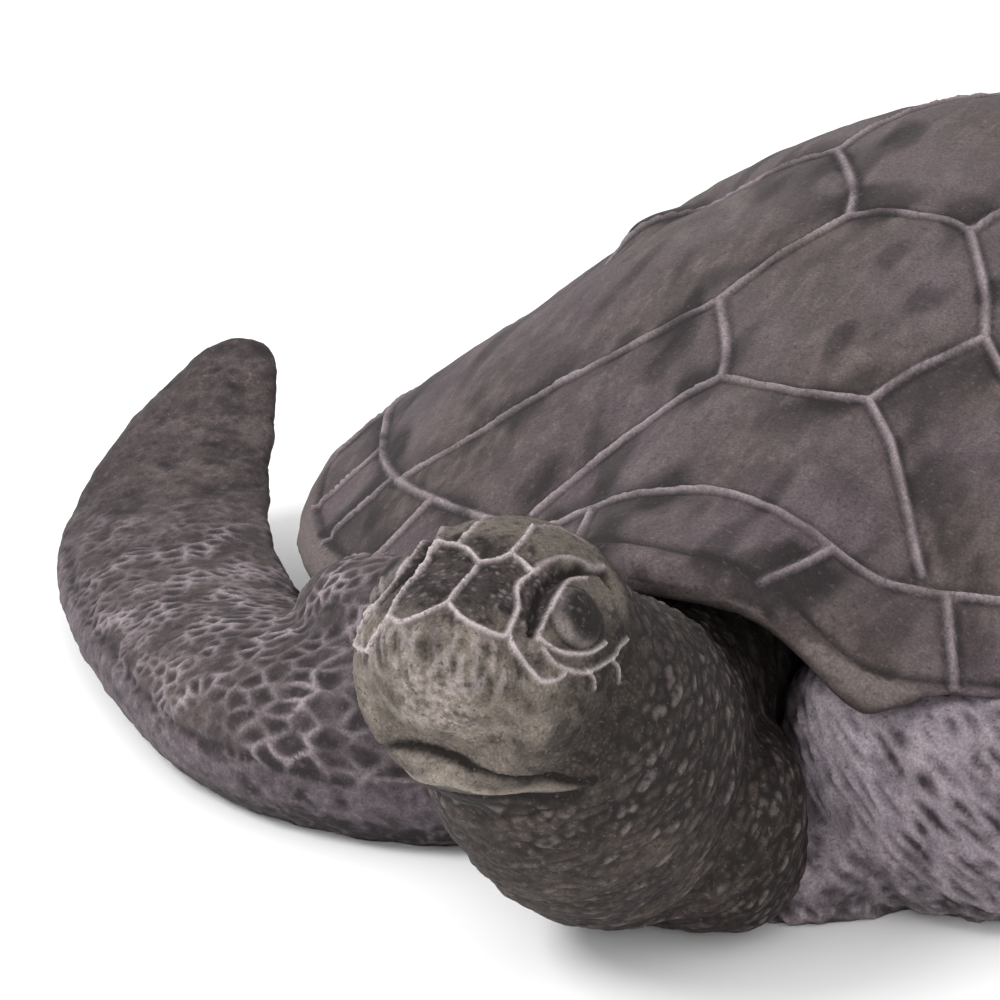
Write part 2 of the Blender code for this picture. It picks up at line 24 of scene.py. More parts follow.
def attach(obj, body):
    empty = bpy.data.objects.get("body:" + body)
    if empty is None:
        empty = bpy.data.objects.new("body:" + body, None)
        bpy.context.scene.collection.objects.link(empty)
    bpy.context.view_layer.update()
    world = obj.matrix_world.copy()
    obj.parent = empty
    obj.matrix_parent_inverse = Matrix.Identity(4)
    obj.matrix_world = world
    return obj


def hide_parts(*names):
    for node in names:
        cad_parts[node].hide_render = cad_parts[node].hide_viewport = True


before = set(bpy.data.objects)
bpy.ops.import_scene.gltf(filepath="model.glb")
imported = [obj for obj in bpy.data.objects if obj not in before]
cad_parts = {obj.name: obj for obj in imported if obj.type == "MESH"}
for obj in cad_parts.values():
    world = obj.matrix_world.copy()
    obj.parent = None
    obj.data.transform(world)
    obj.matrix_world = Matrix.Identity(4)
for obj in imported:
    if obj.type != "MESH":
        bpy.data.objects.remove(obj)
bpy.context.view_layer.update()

NODE = "sea_turtle"
SEED = 7
MM = 0.001
# Thinning: how much less a fine point may be thinned, how hard, and what counts as on the ground.
FINE_SHARE = 0.5
FINE_PULL = 0.03
LEVEL_BELOW = 0.5 * MM

Points = np.ndarray
Line = tuple[tuple[float, ...], ...]
Triple = tuple[float, float, float]
Span = tuple[float, float]
Place = Callable[[Points], Points]
log = logging.getLogger("sea_turtle")


class Side(Enum):
    """The animal's side that a paired form is on."""

    LEFT = 1
    RIGHT = -1


class Tint(Enum):
    """What the carving gives to the colour, with painted light and shade, stored on each piece's points.
    """

    RIDGE = "ridge"
    # The dark wash in the carved hollows, and also painted shade where a piece puts it.
    HOLLOW = "hollow"
    VIOLET = "violet"
    PALE = "pale"


def positions(mesh: bpy.types.Mesh) -> Points:
    """The mesh's points, one row each."""
    flat = np.empty(len(mesh.vertices) * 3)
    mesh.vertices.foreach_get("co", flat)
    return flat.reshape(-1, 3)


def normals(mesh: bpy.types.Mesh) -> Points:
    """The mesh's point normals, one row each."""
    flat = np.empty(len(mesh.vertices) * 3)
    mesh.vertices.foreach_get("normal", flat)
    return flat.reshape(-1, 3)


def move_points(mesh: bpy.types.Mesh, co: Points) -> None:
    """Give the mesh's points these places."""
    mesh.vertices.foreach_set("co", co.ravel())
    mesh.update()


def smoothstep(value: Points, low: float, high: float) -> Points:
    """A soft step from 0 at low to 1 at high.

    Args:
        value: The numbers to step.
        low: Where the step starts; it may be above high for a falling step.
        high: Where the step ends.

    Returns:
        The step at each number.
    """
    t = np.clip((value - low) / (high - low), 0, 1)
    return t * t * (3 - 2 * t)


def bell(distance: Points, half_width: float) -> Points:
    """1 on a line, falling softly to nothing about two half widths off it."""
    return np.exp(-((distance / half_width) ** 2))


def ridge(distance: Points, height: float, half_width: float, beside: float = 0.35) -> Points:
    """A rounded ridge with a shallow groove on both sides.

    Args:
        distance: The distance of each point to the ridge's line.
        height: The ridge's height.
        half_width: Half the ridge's width.
        beside: The depth of the grooves, as a share of the height.

    Returns:
        The height at each point.
    """
    r = distance / half_width
    return height * (bell(r, 1.0) - beside * bell(r - 2.1, 1.0))


def raised(distance: Points, form: Span) -> Points:
    """A soft ridge from its height and half width; below 0 it is a groove."""
    return form[0] * bell(distance, form[1])


def catmull_rom(stations: Points, t: Points) -> Points:
    """Values on a smooth curve through the stations.

    Args:
        stations: One row for each station, with any number of columns.
        t: Places along the curve from 0 to 1, evenly spread over the stations.

    Returns:
        One row for each t.
    """
    stations = np.asarray(stations, float)
    ends = np.vstack([2 * stations[0] - stations[1], stations, 2 * stations[-1] - stations[-2]])
    where = np.clip(t, 0, 1) * (len(stations) - 1)
    index = np.minimum(where.astype(int), len(stations) - 2)
    f = (where - index)[:, None]
    a, b, c, d = (ends[index + k] for k in range(4))
    square = 2 * a - 5 * b + 4 * c - d
    cube = 3 * b - a - 3 * c + d
    return 0.5 * (2 * b + (c - a) * f + square * f**2 + cube * f**3)


def smooth_line(points: Line | Points, spacing: float) -> Points:
    """A smooth curve through the points.

    Args:
        points: The points, in any number of columns.
        spacing: The distance between the curve's samples.

    Returns:
        The samples, one row each.
    """
    fine = catmull_rom(np.asarray(points, float), np.linspace(0, 1, 12 * len(points)))
    steps = np.linalg.norm(np.diff(fine, axis=0), axis=1)
    at = np.concatenate([[0], np.cumsum(steps)])
    wanted = np.linspace(0, at[-1], max(2, int(at[-1] / spacing) + 1))
    return np.stack([np.interp(wanted, at, fine[:, k]) for k in range(fine.shape[1])], -1)


def tree_of(points: Points) -> KDTree:
    """A search tree over the points."""
    tree = KDTree(len(points))
    for i, co in enumerate(points):
        tree.insert(co, i)
    tree.balance()
    return tree


def nearest(points: Points, line_points: Points) -> Points:
    """Distance of each point to the nearest of the line points."""
    tree = tree_of(line_points)
    return np.array([tree.find(co)[2] for co in points])


@dataclass(frozen=True)
class Wander:
    """Soft noise over a surface: how wide its features are, which pattern it is, and its height."""

    size: float
    pattern: float = 0.0
    height: float = 0.0

    def at(self, co: Points) -> Points:
        """The noise from -1 to 1 at each point."""
        offset = Vector((self.pattern, 1.7 * self.pattern, -0.6 * self.pattern))
        return np.array([noise.noise(Vector(p) / self.size + offset) for p in co])


class ScaleNet:
    """A net of uneven scales, spread over a surface once and then measured at any points."""

    def __init__(self, place: Points, spacing: Points, area: float, seed: int) -> None:
        """Spread the scales.

        Args:
            place: The surface's points, stretched where the scales should be longer.
            spacing: The wanted size of a scale at each point.
            area: The surface that each point stands for.
            seed: The seed of the scales' places.
        """
        random = np.random.default_rng(seed)
        share = 1 / spacing**2
        count = max(8, int((share * area).sum()))
        middles = place[random.choice(len(place), count, replace=False, p=share / share.sum())]
        tree = tree_of(middles)
        for _ in range(2):
            owner = np.array([tree.find(p)[1] for p in place])
            size = np.maximum(np.bincount(owner, minlength=count), 1)[:, None]
            sums = np.stack([np.bincount(owner, place[:, k], count) for k in range(3)], -1)
            middles = np.where(sums.any(axis=1, keepdims=True), sums / size, middles)
            tree = tree_of(middles)
        self.tree = tree
        self.lots = random.random(count)

    def measure(self, place: Points) -> tuple[Points, Points]:
        """Where points lie in the net.

        Args:
            place: The points, stretched as the surface was.

        Returns:
            Their distances to the border of their scale, and a lot from 0 to 1 for that scale.
        """
        border = np.empty(len(place))
        owner = np.empty(len(place), int)
        for i, p in enumerate(place):
            first, second = self.tree.find_n(p, 2)
            border[i] = (second[2] - first[2]) / 2
            owner[i] = first[1]
        return border, self.lots[owner]


def ball_mesh(name: str, around: int, along: int, place: Place) -> bpy.types.Mesh:
    """A mesh from a UV sphere whose unit points are moved by a function.

    Args:
        name: The mesh's name.
        around: Segments round the sphere.
        along: Rings from pole to pole.
        place: A function from unit points to their places.

    Returns:
        The closed mesh, facing outwards.
    """
    ball = bmesh.new()
    bmesh.ops.create_uvsphere(ball, u_segments=around, v_segments=along, radius=1)
    unit = np.array([v.co[:] for v in ball.verts])
    for vertex, co in zip(ball.verts, place(unit)):
        vertex.co = co
    bmesh.ops.recalc_face_normals(ball, faces=ball.faces)
    mesh = bpy.data.meshes.new(name)
    ball.to_mesh(mesh)
    ball.free()
    return mesh


def modified(
    mesh: bpy.types.Mesh, kind: str, settings: dict, weights: Points | None = None
) -> bpy.types.Mesh:
    """The mesh after one modifier.

    Args:
        mesh: The mesh to start from.
        kind: The modifier's type.
        settings: The modifier's settings by name.
        weights: A weight for each point, held in a vertex group named keep.

    Returns:
        A new mesh.
    """
    holder = bpy.data.objects.new("holder", mesh)
    bpy.context.scene.collection.objects.link(holder)
    if weights is not None:
        group = holder.vertex_groups.new(name="keep")
        for level in np.unique(weights):
            group.add(np.flatnonzero(weights == level).tolist(), float(level), "REPLACE")
    modifier = holder.modifiers.new("shape", kind)
    for name, value in settings.items():
        setattr(modifier, name, value)
    bpy.context.view_layer.update()
    graph = bpy.context.evaluated_depsgraph_get()
    made = bpy.data.meshes.new_from_object(holder.evaluated_get(graph))
    bpy.data.objects.remove(holder, do_unlink=True)
    return made


def fused(cages: list[bpy.types.Mesh], voxel: float) -> bpy.types.Mesh:
    """One skin of small even faces round all the cages."""
    joined = bmesh.new()
    for cage in cages:
        joined.from_mesh(cage)
    mesh = bpy.data.meshes.new("bulk")
    joined.to_mesh(mesh)
    joined.free()
    return modified(mesh, "REMESH", {"mode": "VOXEL", "voxel_size": voxel, "adaptivity": 0})


def relax(mesh: bpy.types.Mesh, rounds: int, weight: Points) -> None:
    """Smooth the mesh by moving each point towards the mean of its neighbours.

    Args:
        mesh: The mesh to smooth.
        rounds: How many times each point moves.
        weight: How far each point moves, from 0 to 1.
    """
    ends = np.empty(len(mesh.edges) * 2, int)
    mesh.edges.foreach_get("vertices", ends)
    ends = ends.reshape(-1, 2)
    co = positions(mesh)
    count = np.bincount(ends.ravel(), minlength=len(co))[:, None]
    for _ in range(rounds):
        total = np.zeros_like(co)
        for axis in range(3):
            total[:, axis] += np.bincount(ends[:, 0], co[ends[:, 1], axis], len(co))
            total[:, axis] += np.bincount(ends[:, 1], co[ends[:, 0], axis], len(co))
        co += (total / np.maximum(count, 1) - co) * weight[:, None]
    move_points(mesh, co)


def cut_flat(mesh: bpy.types.Mesh) -> None:
    """Cut the mesh off level with the ground and close it there."""
    body = bmesh.new()
    body.from_mesh(mesh)
    everything = body.verts[:] + body.edges[:] + body.faces[:]
    ground, up = (0, 0, 0), (0, 0, 1)
    bmesh.ops.bisect_plane(body, geom=everything, plane_co=ground, plane_no=up, clear_inner=True)
    rim = [edge for edge in body.edges if edge.is_boundary]
    bmesh.ops.holes_fill(body, edges=rim, sides=0)
    bmesh.ops.triangulate(body, faces=body.faces)
    body.to_mesh(mesh)
    body.free()


def thinned(mesh: bpy.types.Mesh, budget: int, fine: Points) -> bpy.types.Mesh:
    """The same surface with fewer triangles.

    Args:
        mesh: A mesh of triangles.
        budget: How many triangles to keep.
        fine: 1 where the carving is fine, 0 where nothing shows.

    Returns:
        The thinner mesh, level on the ground.
    """
    settings = {
        "ratio": min(1.0, budget / len(mesh.polygons)),
        "use_collapse_triangulate": True,
        "vertex_group": "keep",
        "vertex_group_factor": FINE_PULL,
    }
    levels = np.round(1 - FINE_SHARE * np.clip(fine, 0, 1), 1)
    found = modified(mesh, "DECIMATE", settings, levels)
    co = positions(found)
    co[co[:, 2] < LEVEL_BELOW, 2] = 0
    move_points(found, co)
    return found


@dataclass(frozen=True)
class Limb:
    """A soft bulk through stations of x, y, z, half width, half thickness and roll in degrees.

    blunt rounds its ends and square its sections, both as superellipse powers. lead thickens
    the side to the left of its path and thins the other one.
    """

    stations: Line
    blunt: float = 4.0
    square: float = 2.0
    lead: float = 0.0
    around: int = 48
    along: int = 72

    def mirrored(self) -> Limb:
        """The same limb on the animal's other side."""
        rows = tuple((-x, y, z, w, t, -roll) for x, y, z, w, t, roll in self.stations)
        return replace(self, stations=rows, lead=-self.lead)

    def set_back(self, distance: float, over: float) -> Limb:
        """The same limb, led towards the tail within its first stretch outwards.

        Args:
            distance: How far back the limb comes to lie.
            over: The stretch along x over which it gets there.

        Returns:
            The moved limb.
        """
        x0 = self.stations[0][0]
        rows = []
        for x, y, *rest in self.stations:
            rows.append((x, y + distance * min(1.0, (x - x0) / over), *rest))
        return replace(self, stations=tuple(rows))

    def cage(self) -> bpy.types.Mesh:
        """The limb's closed mesh."""
        return ball_mesh("limb", self.around, self.along, self._place)

    def _place(self, unit: Points) -> Points:
        """Where a unit sphere's points come to lie on the limb."""
        t = (1 - unit[:, 2]) / 2
        here = catmull_rom(self.stations, t)
        step = 1e-3
        ahead = catmull_rom(self.stations, np.minimum(t + step, 1))
        ahead = ahead - catmull_rom(self.stations, np.maximum(t - step, 0))
        forward = ahead[:, :3] / np.linalg.norm(ahead[:, :3], axis=1, keepdims=True)
        side = np.cross([0.0, 0.0, 1.0], forward)
        side /= np.maximum(np.linalg.norm(side, axis=1, keepdims=True), 1e-9)
        up = np.cross(forward, side)
        roll = np.radians(here[:, 5:6])
        side, up = side * np.cos(roll) + up * np.sin(roll), up * np.cos(roll) - side * np.sin(roll)
        reach = np.hypot(unit[:, 0], unit[:, 1])
        round_it = reach > 1e-6
        c = np.where(round_it, unit[:, 0] / np.maximum(reach, 1e-6), 0)
        s = np.where(round_it, unit[:, 1] / np.maximum(reach, 1e-6), 0)
        c = np.sign(c) * np.abs(c) ** (2 / self.square)
        s = np.sign(s) * np.abs(s) ** (2 / self.square)
        taper = np.where(round_it, (1 - np.abs(unit[:, 2]) ** self.blunt) ** (1 / self.blunt), 0)
        width = (c * here[:, 3] * taper)[:, None]
        thick = (s * here[:, 4] * taper * (1 + self.lead * c))[:, None]
        return here[:, :3] + side * width + up * thick


def linear(colour: str) -> tuple[float, float, float, float]:
    """A hex sRGB colour as linear light with full alpha."""
    found = []
    for i in (1, 3, 5):
        value = int(colour[i : i + 2], 16) / 255
        found.append(value / 12.92 if value <= 0.04045 else ((value + 0.055) / 1.055) ** 2.4)
    return (*found, 1.0)


def add_node(tree: bpy.types.NodeTree, kind: str, inputs: dict, **settings) -> bpy.types.Node:
    """Add a node to a material.

    Args:
        tree: The material's node tree.
        kind: The node's type.
        inputs: Values or sockets for its inputs, by name or number.
        **settings: The node's own settings.

    Returns:
        The new node.
    """
    node = tree.nodes.new(kind)
    for name, value in settings.items():
        setattr(node, name, value)
    for name, value in inputs.items():
        if isinstance(value, bpy.types.NodeSocket):
            tree.links.new(value, node.inputs[name])
        else:
            node.inputs[name].default_value = value
    return node


@dataclass(frozen=True)
class StoneFinish:
    """Cast stone: stone powder in resin, poured in a mould, washed dark and dry-brushed pale.

    The bare casting is matte, so the eye gets a broad dull sheen and no clear highlight. The wash
    lies in the hollows and the dry brush on the ridges. Both follow the carving, which the
    piece's points hold as attributes. The wash colour also paints shade, and the pale and violet
    colours also paint light, where the attributes ask for them. Sizes are the features' real ones
    in metres.
    """

    name: str
    body: str
    shade: str
    bloom: str
    ridge: str
    hollow: str
    violet: str
    pale: str
    fleck: str = "#a39a9f"
    dust: str = "#d6d2d0"
    bare: str = "#ffffff"
    fleck_size: float = 2.4 * MM
    fleck_strength: float = 0.10
    pit_strength: float = 0.40
    patch_size: float = 45 * MM
    speck_size: float = 3.0 * MM
    # The stone powder's real grain is about 0.3 mm. It is drawn coarser, so that it shows from here.
    grain_size: float = 1.1 * MM
    streak: Triple = (1.0, 1.0, 1.0)
    patch_strength: float = 0.8
    bloom_strength: float = 0.6
    speck_strength: float = 0.5
    grain_height: float = 0.25 * MM
    speck_height: float = 0.625 * MM
    relief: float = 0.6
    sheen: float = 0.3
    roughness: float = 0.78

    def make(self) -> bpy.types.Material:
        """The material."""
        made = bpy.data.materials.new(self.name)
        made.use_nodes = True
        tree = made.node_tree
        shader = tree.nodes["Principled BSDF"]
        place = add_node(tree, "ShaderNodeTexCoord", {}).outputs["Object"]
        streaked = {"Vector": place, "Scale": self.streak}
        drawn = add_node(tree, "ShaderNodeMapping", streaked).outputs["Vector"]
        found = []
        for source, size, detail in (
            (place, self.patch_size, 3.0),
            (drawn, self.speck_size, 5.0),
            (place, self.grain_size, 3.0),
            (place, self.fleck_size, 2.0),
        ):
            inputs = {"Vector": source, "Scale": 1 / size, "Detail": detail, "Roughness": 0.6}
            found.append(add_node(tree, "ShaderNodeTexNoise", inputs).outputs["Fac"])
        patches, specks, grain, flecks = found

        # Each layer lies over the ones before it. Noise is stepped from a low to a high value.
        layers = (
            (patches, 0.42, 0.66, self.patch_strength, self.shade),
            (patches, 0.50, 0.30, self.bloom_strength, self.bloom),
            (specks, 0.52, 0.68, self.speck_strength, self.shade),
            (specks, 0.48, 0.32, self.speck_strength, self.bloom),
            (Tint.VIOLET, 0.0, 1.0, 1.0, self.violet),
            (Tint.PALE, 0.0, 1.0, 1.0, self.pale),
            (Tint.HOLLOW, 0.0, 1.0, 1.0, self.hollow),
            (Tint.RIDGE, 0.0, 1.0, 1.0, self.ridge),
            (flecks, 0.42, 0.30, self.pit_strength, self.hollow),
            (flecks, 0.60, 0.72, self.fleck_strength, self.fleck),
        )
        colour = linear(self.body)
        for source, low, high, top, cover in layers:
            if isinstance(source, Tint):
                held = add_node(tree, "ShaderNodeAttribute", {}, attribute_name=source.value)
                share = held.outputs["Fac"]
            else:
                span = {"Value": source, "From Min": low, "From Max": high, "To Max": top}
                step = add_node(tree, "ShaderNodeMapRange", span, interpolation_type="SMOOTHSTEP")
                share = step.outputs["Result"]
            inputs = {0: share, 6: colour, 7: linear(cover)}
            colour = add_node(tree, "ShaderNodeMix", inputs, data_type="RGBA").outputs[2]
        span = {"Value": grain, "From Min": 0.35, "From Max": 0.70}
        step = add_node(tree, "ShaderNodeMapRange", span, interpolation_type="SMOOTHSTEP")
        inputs = {0: step.outputs["Result"], 6: linear(self.dust), 7: linear(self.bare)}
        dust = add_node(tree, "ShaderNodeMix", inputs, data_type="RGBA").outputs[2]
        inputs = {0: 1.0, 6: colour, 7: dust}
        dusted = add_node(tree, "ShaderNodeMix", inputs, data_type="RGBA", blend_type="MULTIPLY")
        tree.links.new(dusted.outputs[2], shader.inputs["Base Color"])

        shader.inputs["Roughness"].default_value = self.roughness
        shader.inputs["Specular IOR Level"].default_value = self.sheen
        relief = {"Height": grain, "Strength": self.relief, "Distance": self.grain_height}
        fine = add_node(tree, "ShaderNodeBump", relief).outputs["Normal"]
        relief = {"Height": specks, "Strength": self.relief, "Distance": self.speck_height}
        rough = add_node(tree, "ShaderNodeBump", relief | {"Normal": fine}).outputs["Normal"]
        tree.links.new(rough, shader.inputs["Normal"])
        return made


@dataclass
class Carving:
    """Height of the carving at each point along its normal, and the colour it gives, with painted light
    and shade.
    """

    height: Points
    tints: dict[Tint, Points]


@dataclass
class CastPiece:
    """What every piece of the casting shares: how it is fused, carved, thinned and dressed."""

    name: str
    voxel: float
    budget: int
    soften: float
    finish: StoneFinish

    def cages(self) -> list[bpy.types.Mesh]:
        """The overlapping bulks of the piece."""
        raise NotImplementedError

    def carve(self, co: Points, out: Points) -> Carving:
        """The carving at each point, before it is moved.

        Args:
            co: The points.
            out: Their normals.

        Returns:
            The carving's height and colour.
        """
        raise NotImplementedError

    def fineness(self, co: Points) -> Points:
        """1 where triangles are wanted, 0 where nothing shows."""
        return np.ones(len(co))

    def soften_more(self, mesh: bpy.types.Mesh) -> None:
        """Further smoothing that only this piece needs."""

    def build(self) -> bpy.types.Object:
        """Make the piece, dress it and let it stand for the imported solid.

        Returns:
            The finished object, which sits at the origin.
        """
        skin = fused(self.cages(), self.voxel)
        rounds = max(1, round(2 * (self.soften / self.voxel) ** 2))
        relax(skin, rounds, np.full(len(skin.vertices), 0.5))
        self.soften_more(skin)
        co = positions(skin)
        out = normals(skin)
        carving = self.carve(co, out)
        for tint, values in carving.tints.items():
            layer = skin.attributes.new(tint.value, "FLOAT", "POINT")
            layer.data.foreach_set("value", np.clip(values, 0, 1).astype(np.float32))
        move_points(skin, co + out * carving.height[:, None])
        cut_flat(skin)
        mesh = thinned(skin, self.budget, self.fineness(positions(skin)))
        mesh.name = self.name
        mesh.materials.clear()
        mesh.materials.append(self.finish.make())
        mesh.shade_smooth()
        made = bpy.data.objects.new(self.name, mesh)
        bpy.context.scene.collection.objects.link(made)
        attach(made, "root")
        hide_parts(NODE)
        log.info("%s: %d triangles", self.name, len(mesh.polygons))
        return made


# The weathered shell: soft stains drawn along it, brushed thinly on the plates. Its wash colour also
# paints the shade under the edge, and its pale colour the light on the higher dome and on the edge's other
# faces.
SHELL_FINISH = StoneFinish(
    name="cast_stone_shell",
    body="#4d4341",
    shade="#352c2b",
    bloom="#665b59",
    ridge="#a1959b",
    hollow="#241d1e",
    violet="#5f535b",
    pale="#6f6664",
    speck_size=5.0 * MM,
    speck_strength=0.7,
    streak=(1.0, 0.28, 1.0),
)

# The head and neck: the brownest and most contrasty part, with small pits and flecks. Its wash and
# pale colours also paint shade behind the face and light towards the snout.
HEAD_FINISH = StoneFinish(
    name="cast_stone_head",
    body="#4a403c",
    shade="#2c2420",
    bloom="#64594f",
    ridge="#bdb2b4",
    hollow="#19120f",
    violet="#443a40",
    pale="#8f867c",
    patch_size=22 * MM,
    speck_size=2.6 * MM,
    speck_strength=0.7,
    grain_size=0.9 * MM,
    fleck="#a89ea0",
    fleck_size=2.2 * MM,
    fleck_strength=0.14,
    pit_strength=0.55,
)

# The limbs and shoulders: violet-grey skin, brushed pale on its net of scales. Its wash colour also
# paints shade, and its pale and violet colours also paint light on the shoulder and on faces turned to the
# front.
SKIN_FINISH = StoneFinish(
    name="cast_stone_skin",
    body="#4f4545",
    shade="#372d2e",
    bloom="#645a58",
    ridge="#a1969d",
    hollow="#241c1f",
    violet="#6c626b",
    pale="#aaa0aa",
    patch_size=30 * MM,
    speck_size=3.5 * MM,
    speck_strength=0.6,
)


@dataclass
class Carapace(CastPiece):
    """The domed shell with its plates, their raised seams and the rolled edge."""

    name: str = "carapace"
    voxel: float = 1.75 * MM
    budget: int = 196000
    soften: float = 4.5 * MM
    finish: StoneFinish = SHELL_FINISH

    # The dome, its edge and the arch over the neck.
    length: float = 0.600
    width: float = 0.478
    height: float = 0.2045
    peak_back: float = 0.075
    dome_power: float = 1.80
    shoulder_swell: float = 0.045
    rim_front: float = 0.100
    rim_side: float = 0.060
    rim_back: float = 0.058
    arch: float = 0.035
    arch_spread: float = 0.25
    arch_fade: float = 5.0
    arch_notch: float = 0.010
    # The rolled edge. It is thin over the left shoulder, between two angles in radians.
    roll_height: float = 9.5 * MM
    roll_width: float = 7.0 * MM
    roll_over_shoulder: float = 0.25
    thin_from: Span = (0.30, 0.40)
    thin_to: Span = (1.40, 1.15)
    # Seams and edge plates, with shares from 0 at the peak to 1 at the edge and angles in degrees.
    seam_height: float = 1.7 * MM
    seam_half_width: float = 1.3 * MM
    seam_uneven: float = 0.45
    stain_reach: float = 24 * MM
    marginal_front: float = 0.888
    marginal_side: float = 0.912
    marginal_dip: float = 0.033
    marginal_dip_spread: float = 0.14
    spur_angles: tuple[float, ...] = (12.5, 23.5, 36, 48, 60, 73, 86, 99, 112, 125, 138, 151, 165)
    spur_slant: tuple[float, ...] = (-4.0, 1.5)
    seam_beside: float = 0.28
    seam_brush: float = 1.25 * MM
    edge_share: float = 0.994
    edge_wave: float = 0.004
    edge_rounds: int = 24
    edge_band: float = 0.05
    near_edge: float = 1.03
    near_top: float = 0.010
    line_step: float = 0.15
    crown: float = 1.0 * MM
    crown_reach: float = 14 * MM
    edge_groove: float = 1.5 * MM
    edge_half_width: float = 1.7 * MM
    dark_line: float = 2.8 * MM
    dark_half_width: float = 1.4 * MM
    # Weathering and unevenness.
    drawn_out: Triple = (1.0, 0.25, 1.0)
    streaks: Wander = Wander(7 * MM, 0.0, 0.42 * MM)
    dents: Wander = Wander(12 * MM, 3.0, 0.32 * MM)
    waves: Wander = Wander(52 * MM, 5.0, 1.2 * MM)
    seam_wear: Wander = Wander(14 * MM, 21.0)
    brush_wear: Wander = Wander(16 * MM, 9.0)
    stains: Wander = Wander(24 * MM, 2.0)
    blotches: Wander = Wander(13 * MM, 8.0)
    violet_drift: Wander = Wander(55 * MM, 4.0)
    # Painted light: the shell is painted paler from the lower to the upper of these heights.
    lit_from: Span = (0.130, 0.180)
    # Hollows and swellings of the dome: x to both sides, y, radius and height.
    swells: Line = (
        (0.160, 0.004, 0.034, -0.0065),
        (0.138, 0.010, 0.016, 0.0080),
        (0.110, 0.014, 0.020, -0.0040),
        (0.225, -0.072, 0.040, 0.0055),
    )
    # The seams inside the edge plates, in plan, on the left half.
    half_seams: tuple[Line, ...] = (
        ((0.000, -0.173), (0.016, -0.172), (0.030, -0.168)),
        ((0.030, -0.168), (0.045, -0.184), (0.060, -0.207), (0.072, -0.226), (0.078, -0.235)),
        ((0.030, -0.168), (0.038, -0.144), (0.055, -0.110)),
        ((0.055, -0.110), (0.046, -0.086), (0.034, -0.063), (0.0255, -0.048)),
        ((0.000, -0.044), (0.013, -0.044), (0.0255, -0.048)),
        ((0.0255, -0.048), (0.034, -0.022), (0.058, 0.022)),
        (
            (0.055, -0.110), (0.072, -0.129), (0.091, -0.144),
            (0.110, -0.157), (0.132, -0.170), (0.160, -0.181),
        ),
        ((0.058, 0.022), (0.050, 0.054), (0.031, 0.088)),
        ((0.000, 0.091), (0.016, 0.091), (0.031, 0.088)),
        ((0.058, 0.022), (0.100, 0.014), (0.145, 0.000), (0.212, -0.006)),
        ((0.031, 0.088), (0.038, 0.112), (0.052, 0.142)),
        ((0.052, 0.142), (0.042, 0.168), (0.026, 0.196)),
        ((0.052, 0.142), (0.090, 0.150), (0.130, 0.150), (0.182, 0.142)),
        ((0.000, 0.199), (0.014, 0.199), (0.026, 0.196)),
        ((0.026, 0.196), (0.048, 0.222), (0.080, 0.252)),
    )

    def rim_height(self, theta: Points) -> Points:
        """Height of the edge at an angle round the shell, 0 at the front, without the arch."""
        ahead = np.cos(theta)
        lift = self.rim_side + (self.rim_front - self.rim_side) * np.maximum(0, ahead) ** 2
        return lift + (self.rim_back - self.rim_side) * np.maximum(0, -ahead) ** 2

    def top(self, s: Points, theta: Points) -> Points:
        """Points of the shell's top.

        Args:
            s: How far out, from 0 at the peak to 1 at the edge.
            theta: The angle round the shell, 0 at the front.

        Returns:
            The points, one row each.
        """
        s = np.asarray(s, float)
        theta = np.asarray(theta, float)
        turn = np.arctan2(np.sin(theta), np.cos(theta))
        at_neck = np.exp(-(np.abs(turn / self.arch_spread) ** 4)) * s**self.arch_fade
        x = s * self.width / 2 * np.sin(theta) * (1 + self.shoulder_swell * np.cos(theta))
        y = -s * self.length / 2 * np.cos(theta) + (1 - s) * self.peak_back + self.arch_notch * at_neck
        edge = self.rim_height(theta)
        z = edge + (self.height - edge) * (1 - s**self.dome_power) + self.arch * at_neck
        return np.stack([x, y, z], -1)

    def polar(self, x: Points, y: Points) -> tuple[Points, Points]:
        """How far out and at what angle plan points lie on the shell."""
        s = np.hypot(x / (self.width / 2), y / (self.length / 2))
        for _ in range(16):
            ahead = ((1 - s) * self.peak_back - y) / (self.length / 2)
            swell = 1 + self.shoulder_swell * ahead / np.maximum(s, 1e-3)
            across = x / (self.width / 2) / swell
            s = np.hypot(ahead, across)
        return s, np.arctan2(across, ahead)

    def roll_size(self, theta: Points) -> Points:
        """The rolled edge's size at an angle: full in general, small over the left shoulder."""
        turn = np.arctan2(np.sin(theta), np.cos(theta))
        over = smoothstep(turn, *self.thin_from) * smoothstep(turn, *self.thin_to)
        return 1 - (1 - self.roll_over_shoulder) * over

    def cages(self) -> list[bpy.types.Mesh]:
        """The dome with its rolled edge, closed below by a nearly flat underside."""
        top_share = 0.62
        roll_share = 0.14

        def place(unit: Points) -> Points:
            """Where a unit sphere's points come to lie on the shell."""
            down = np.arccos(np.clip(unit[:, 2], -1, 1)) / math.pi
            theta = np.arctan2(unit[:, 0], -unit[:, 1])
            s = np.where(down < top_share, np.sin(0.5 * math.pi * down / top_share), 1.0)
            co = self.top(s, theta)
            turn = math.pi * np.clip((down - top_share) / roll_share, 0, 1)
            outward = self.top(1.0, theta) - self.top(0.9, theta)
            outward[:, 2] = 0
            outward /= np.linalg.norm(outward, axis=1, keepdims=True)
            size = self.roll_size(theta)
            co = co + outward * (size * self.roll_width * np.sin(turn) ** 0.8)[:, None]
            co[:, 2] -= size * self.roll_height * (1 - np.cos(turn))
            inward = np.clip((1 - down) / (1 - top_share - roll_share), 0, 1)[:, None]
            middle = np.array([0, self.peak_back, 0])
            floor = middle + (co - middle) * inward
            floor[:, 2] = co[:, 2]
            return np.where((down > top_share + roll_share)[:, None], floor, co)

        return [ball_mesh("shell", 256, 160, place)]

    def marginal_share(self, theta: Points) -> Points:
        """How far out the line inside the edge plates runs, at an angle."""
        turn = np.arctan2(np.sin(theta), np.cos(theta))
        dip = self.marginal_dip * bell(turn, self.marginal_dip_spread)
        return self.marginal_front + (self.marginal_side - self.marginal_front) * np.sin(theta) ** 2 - dip

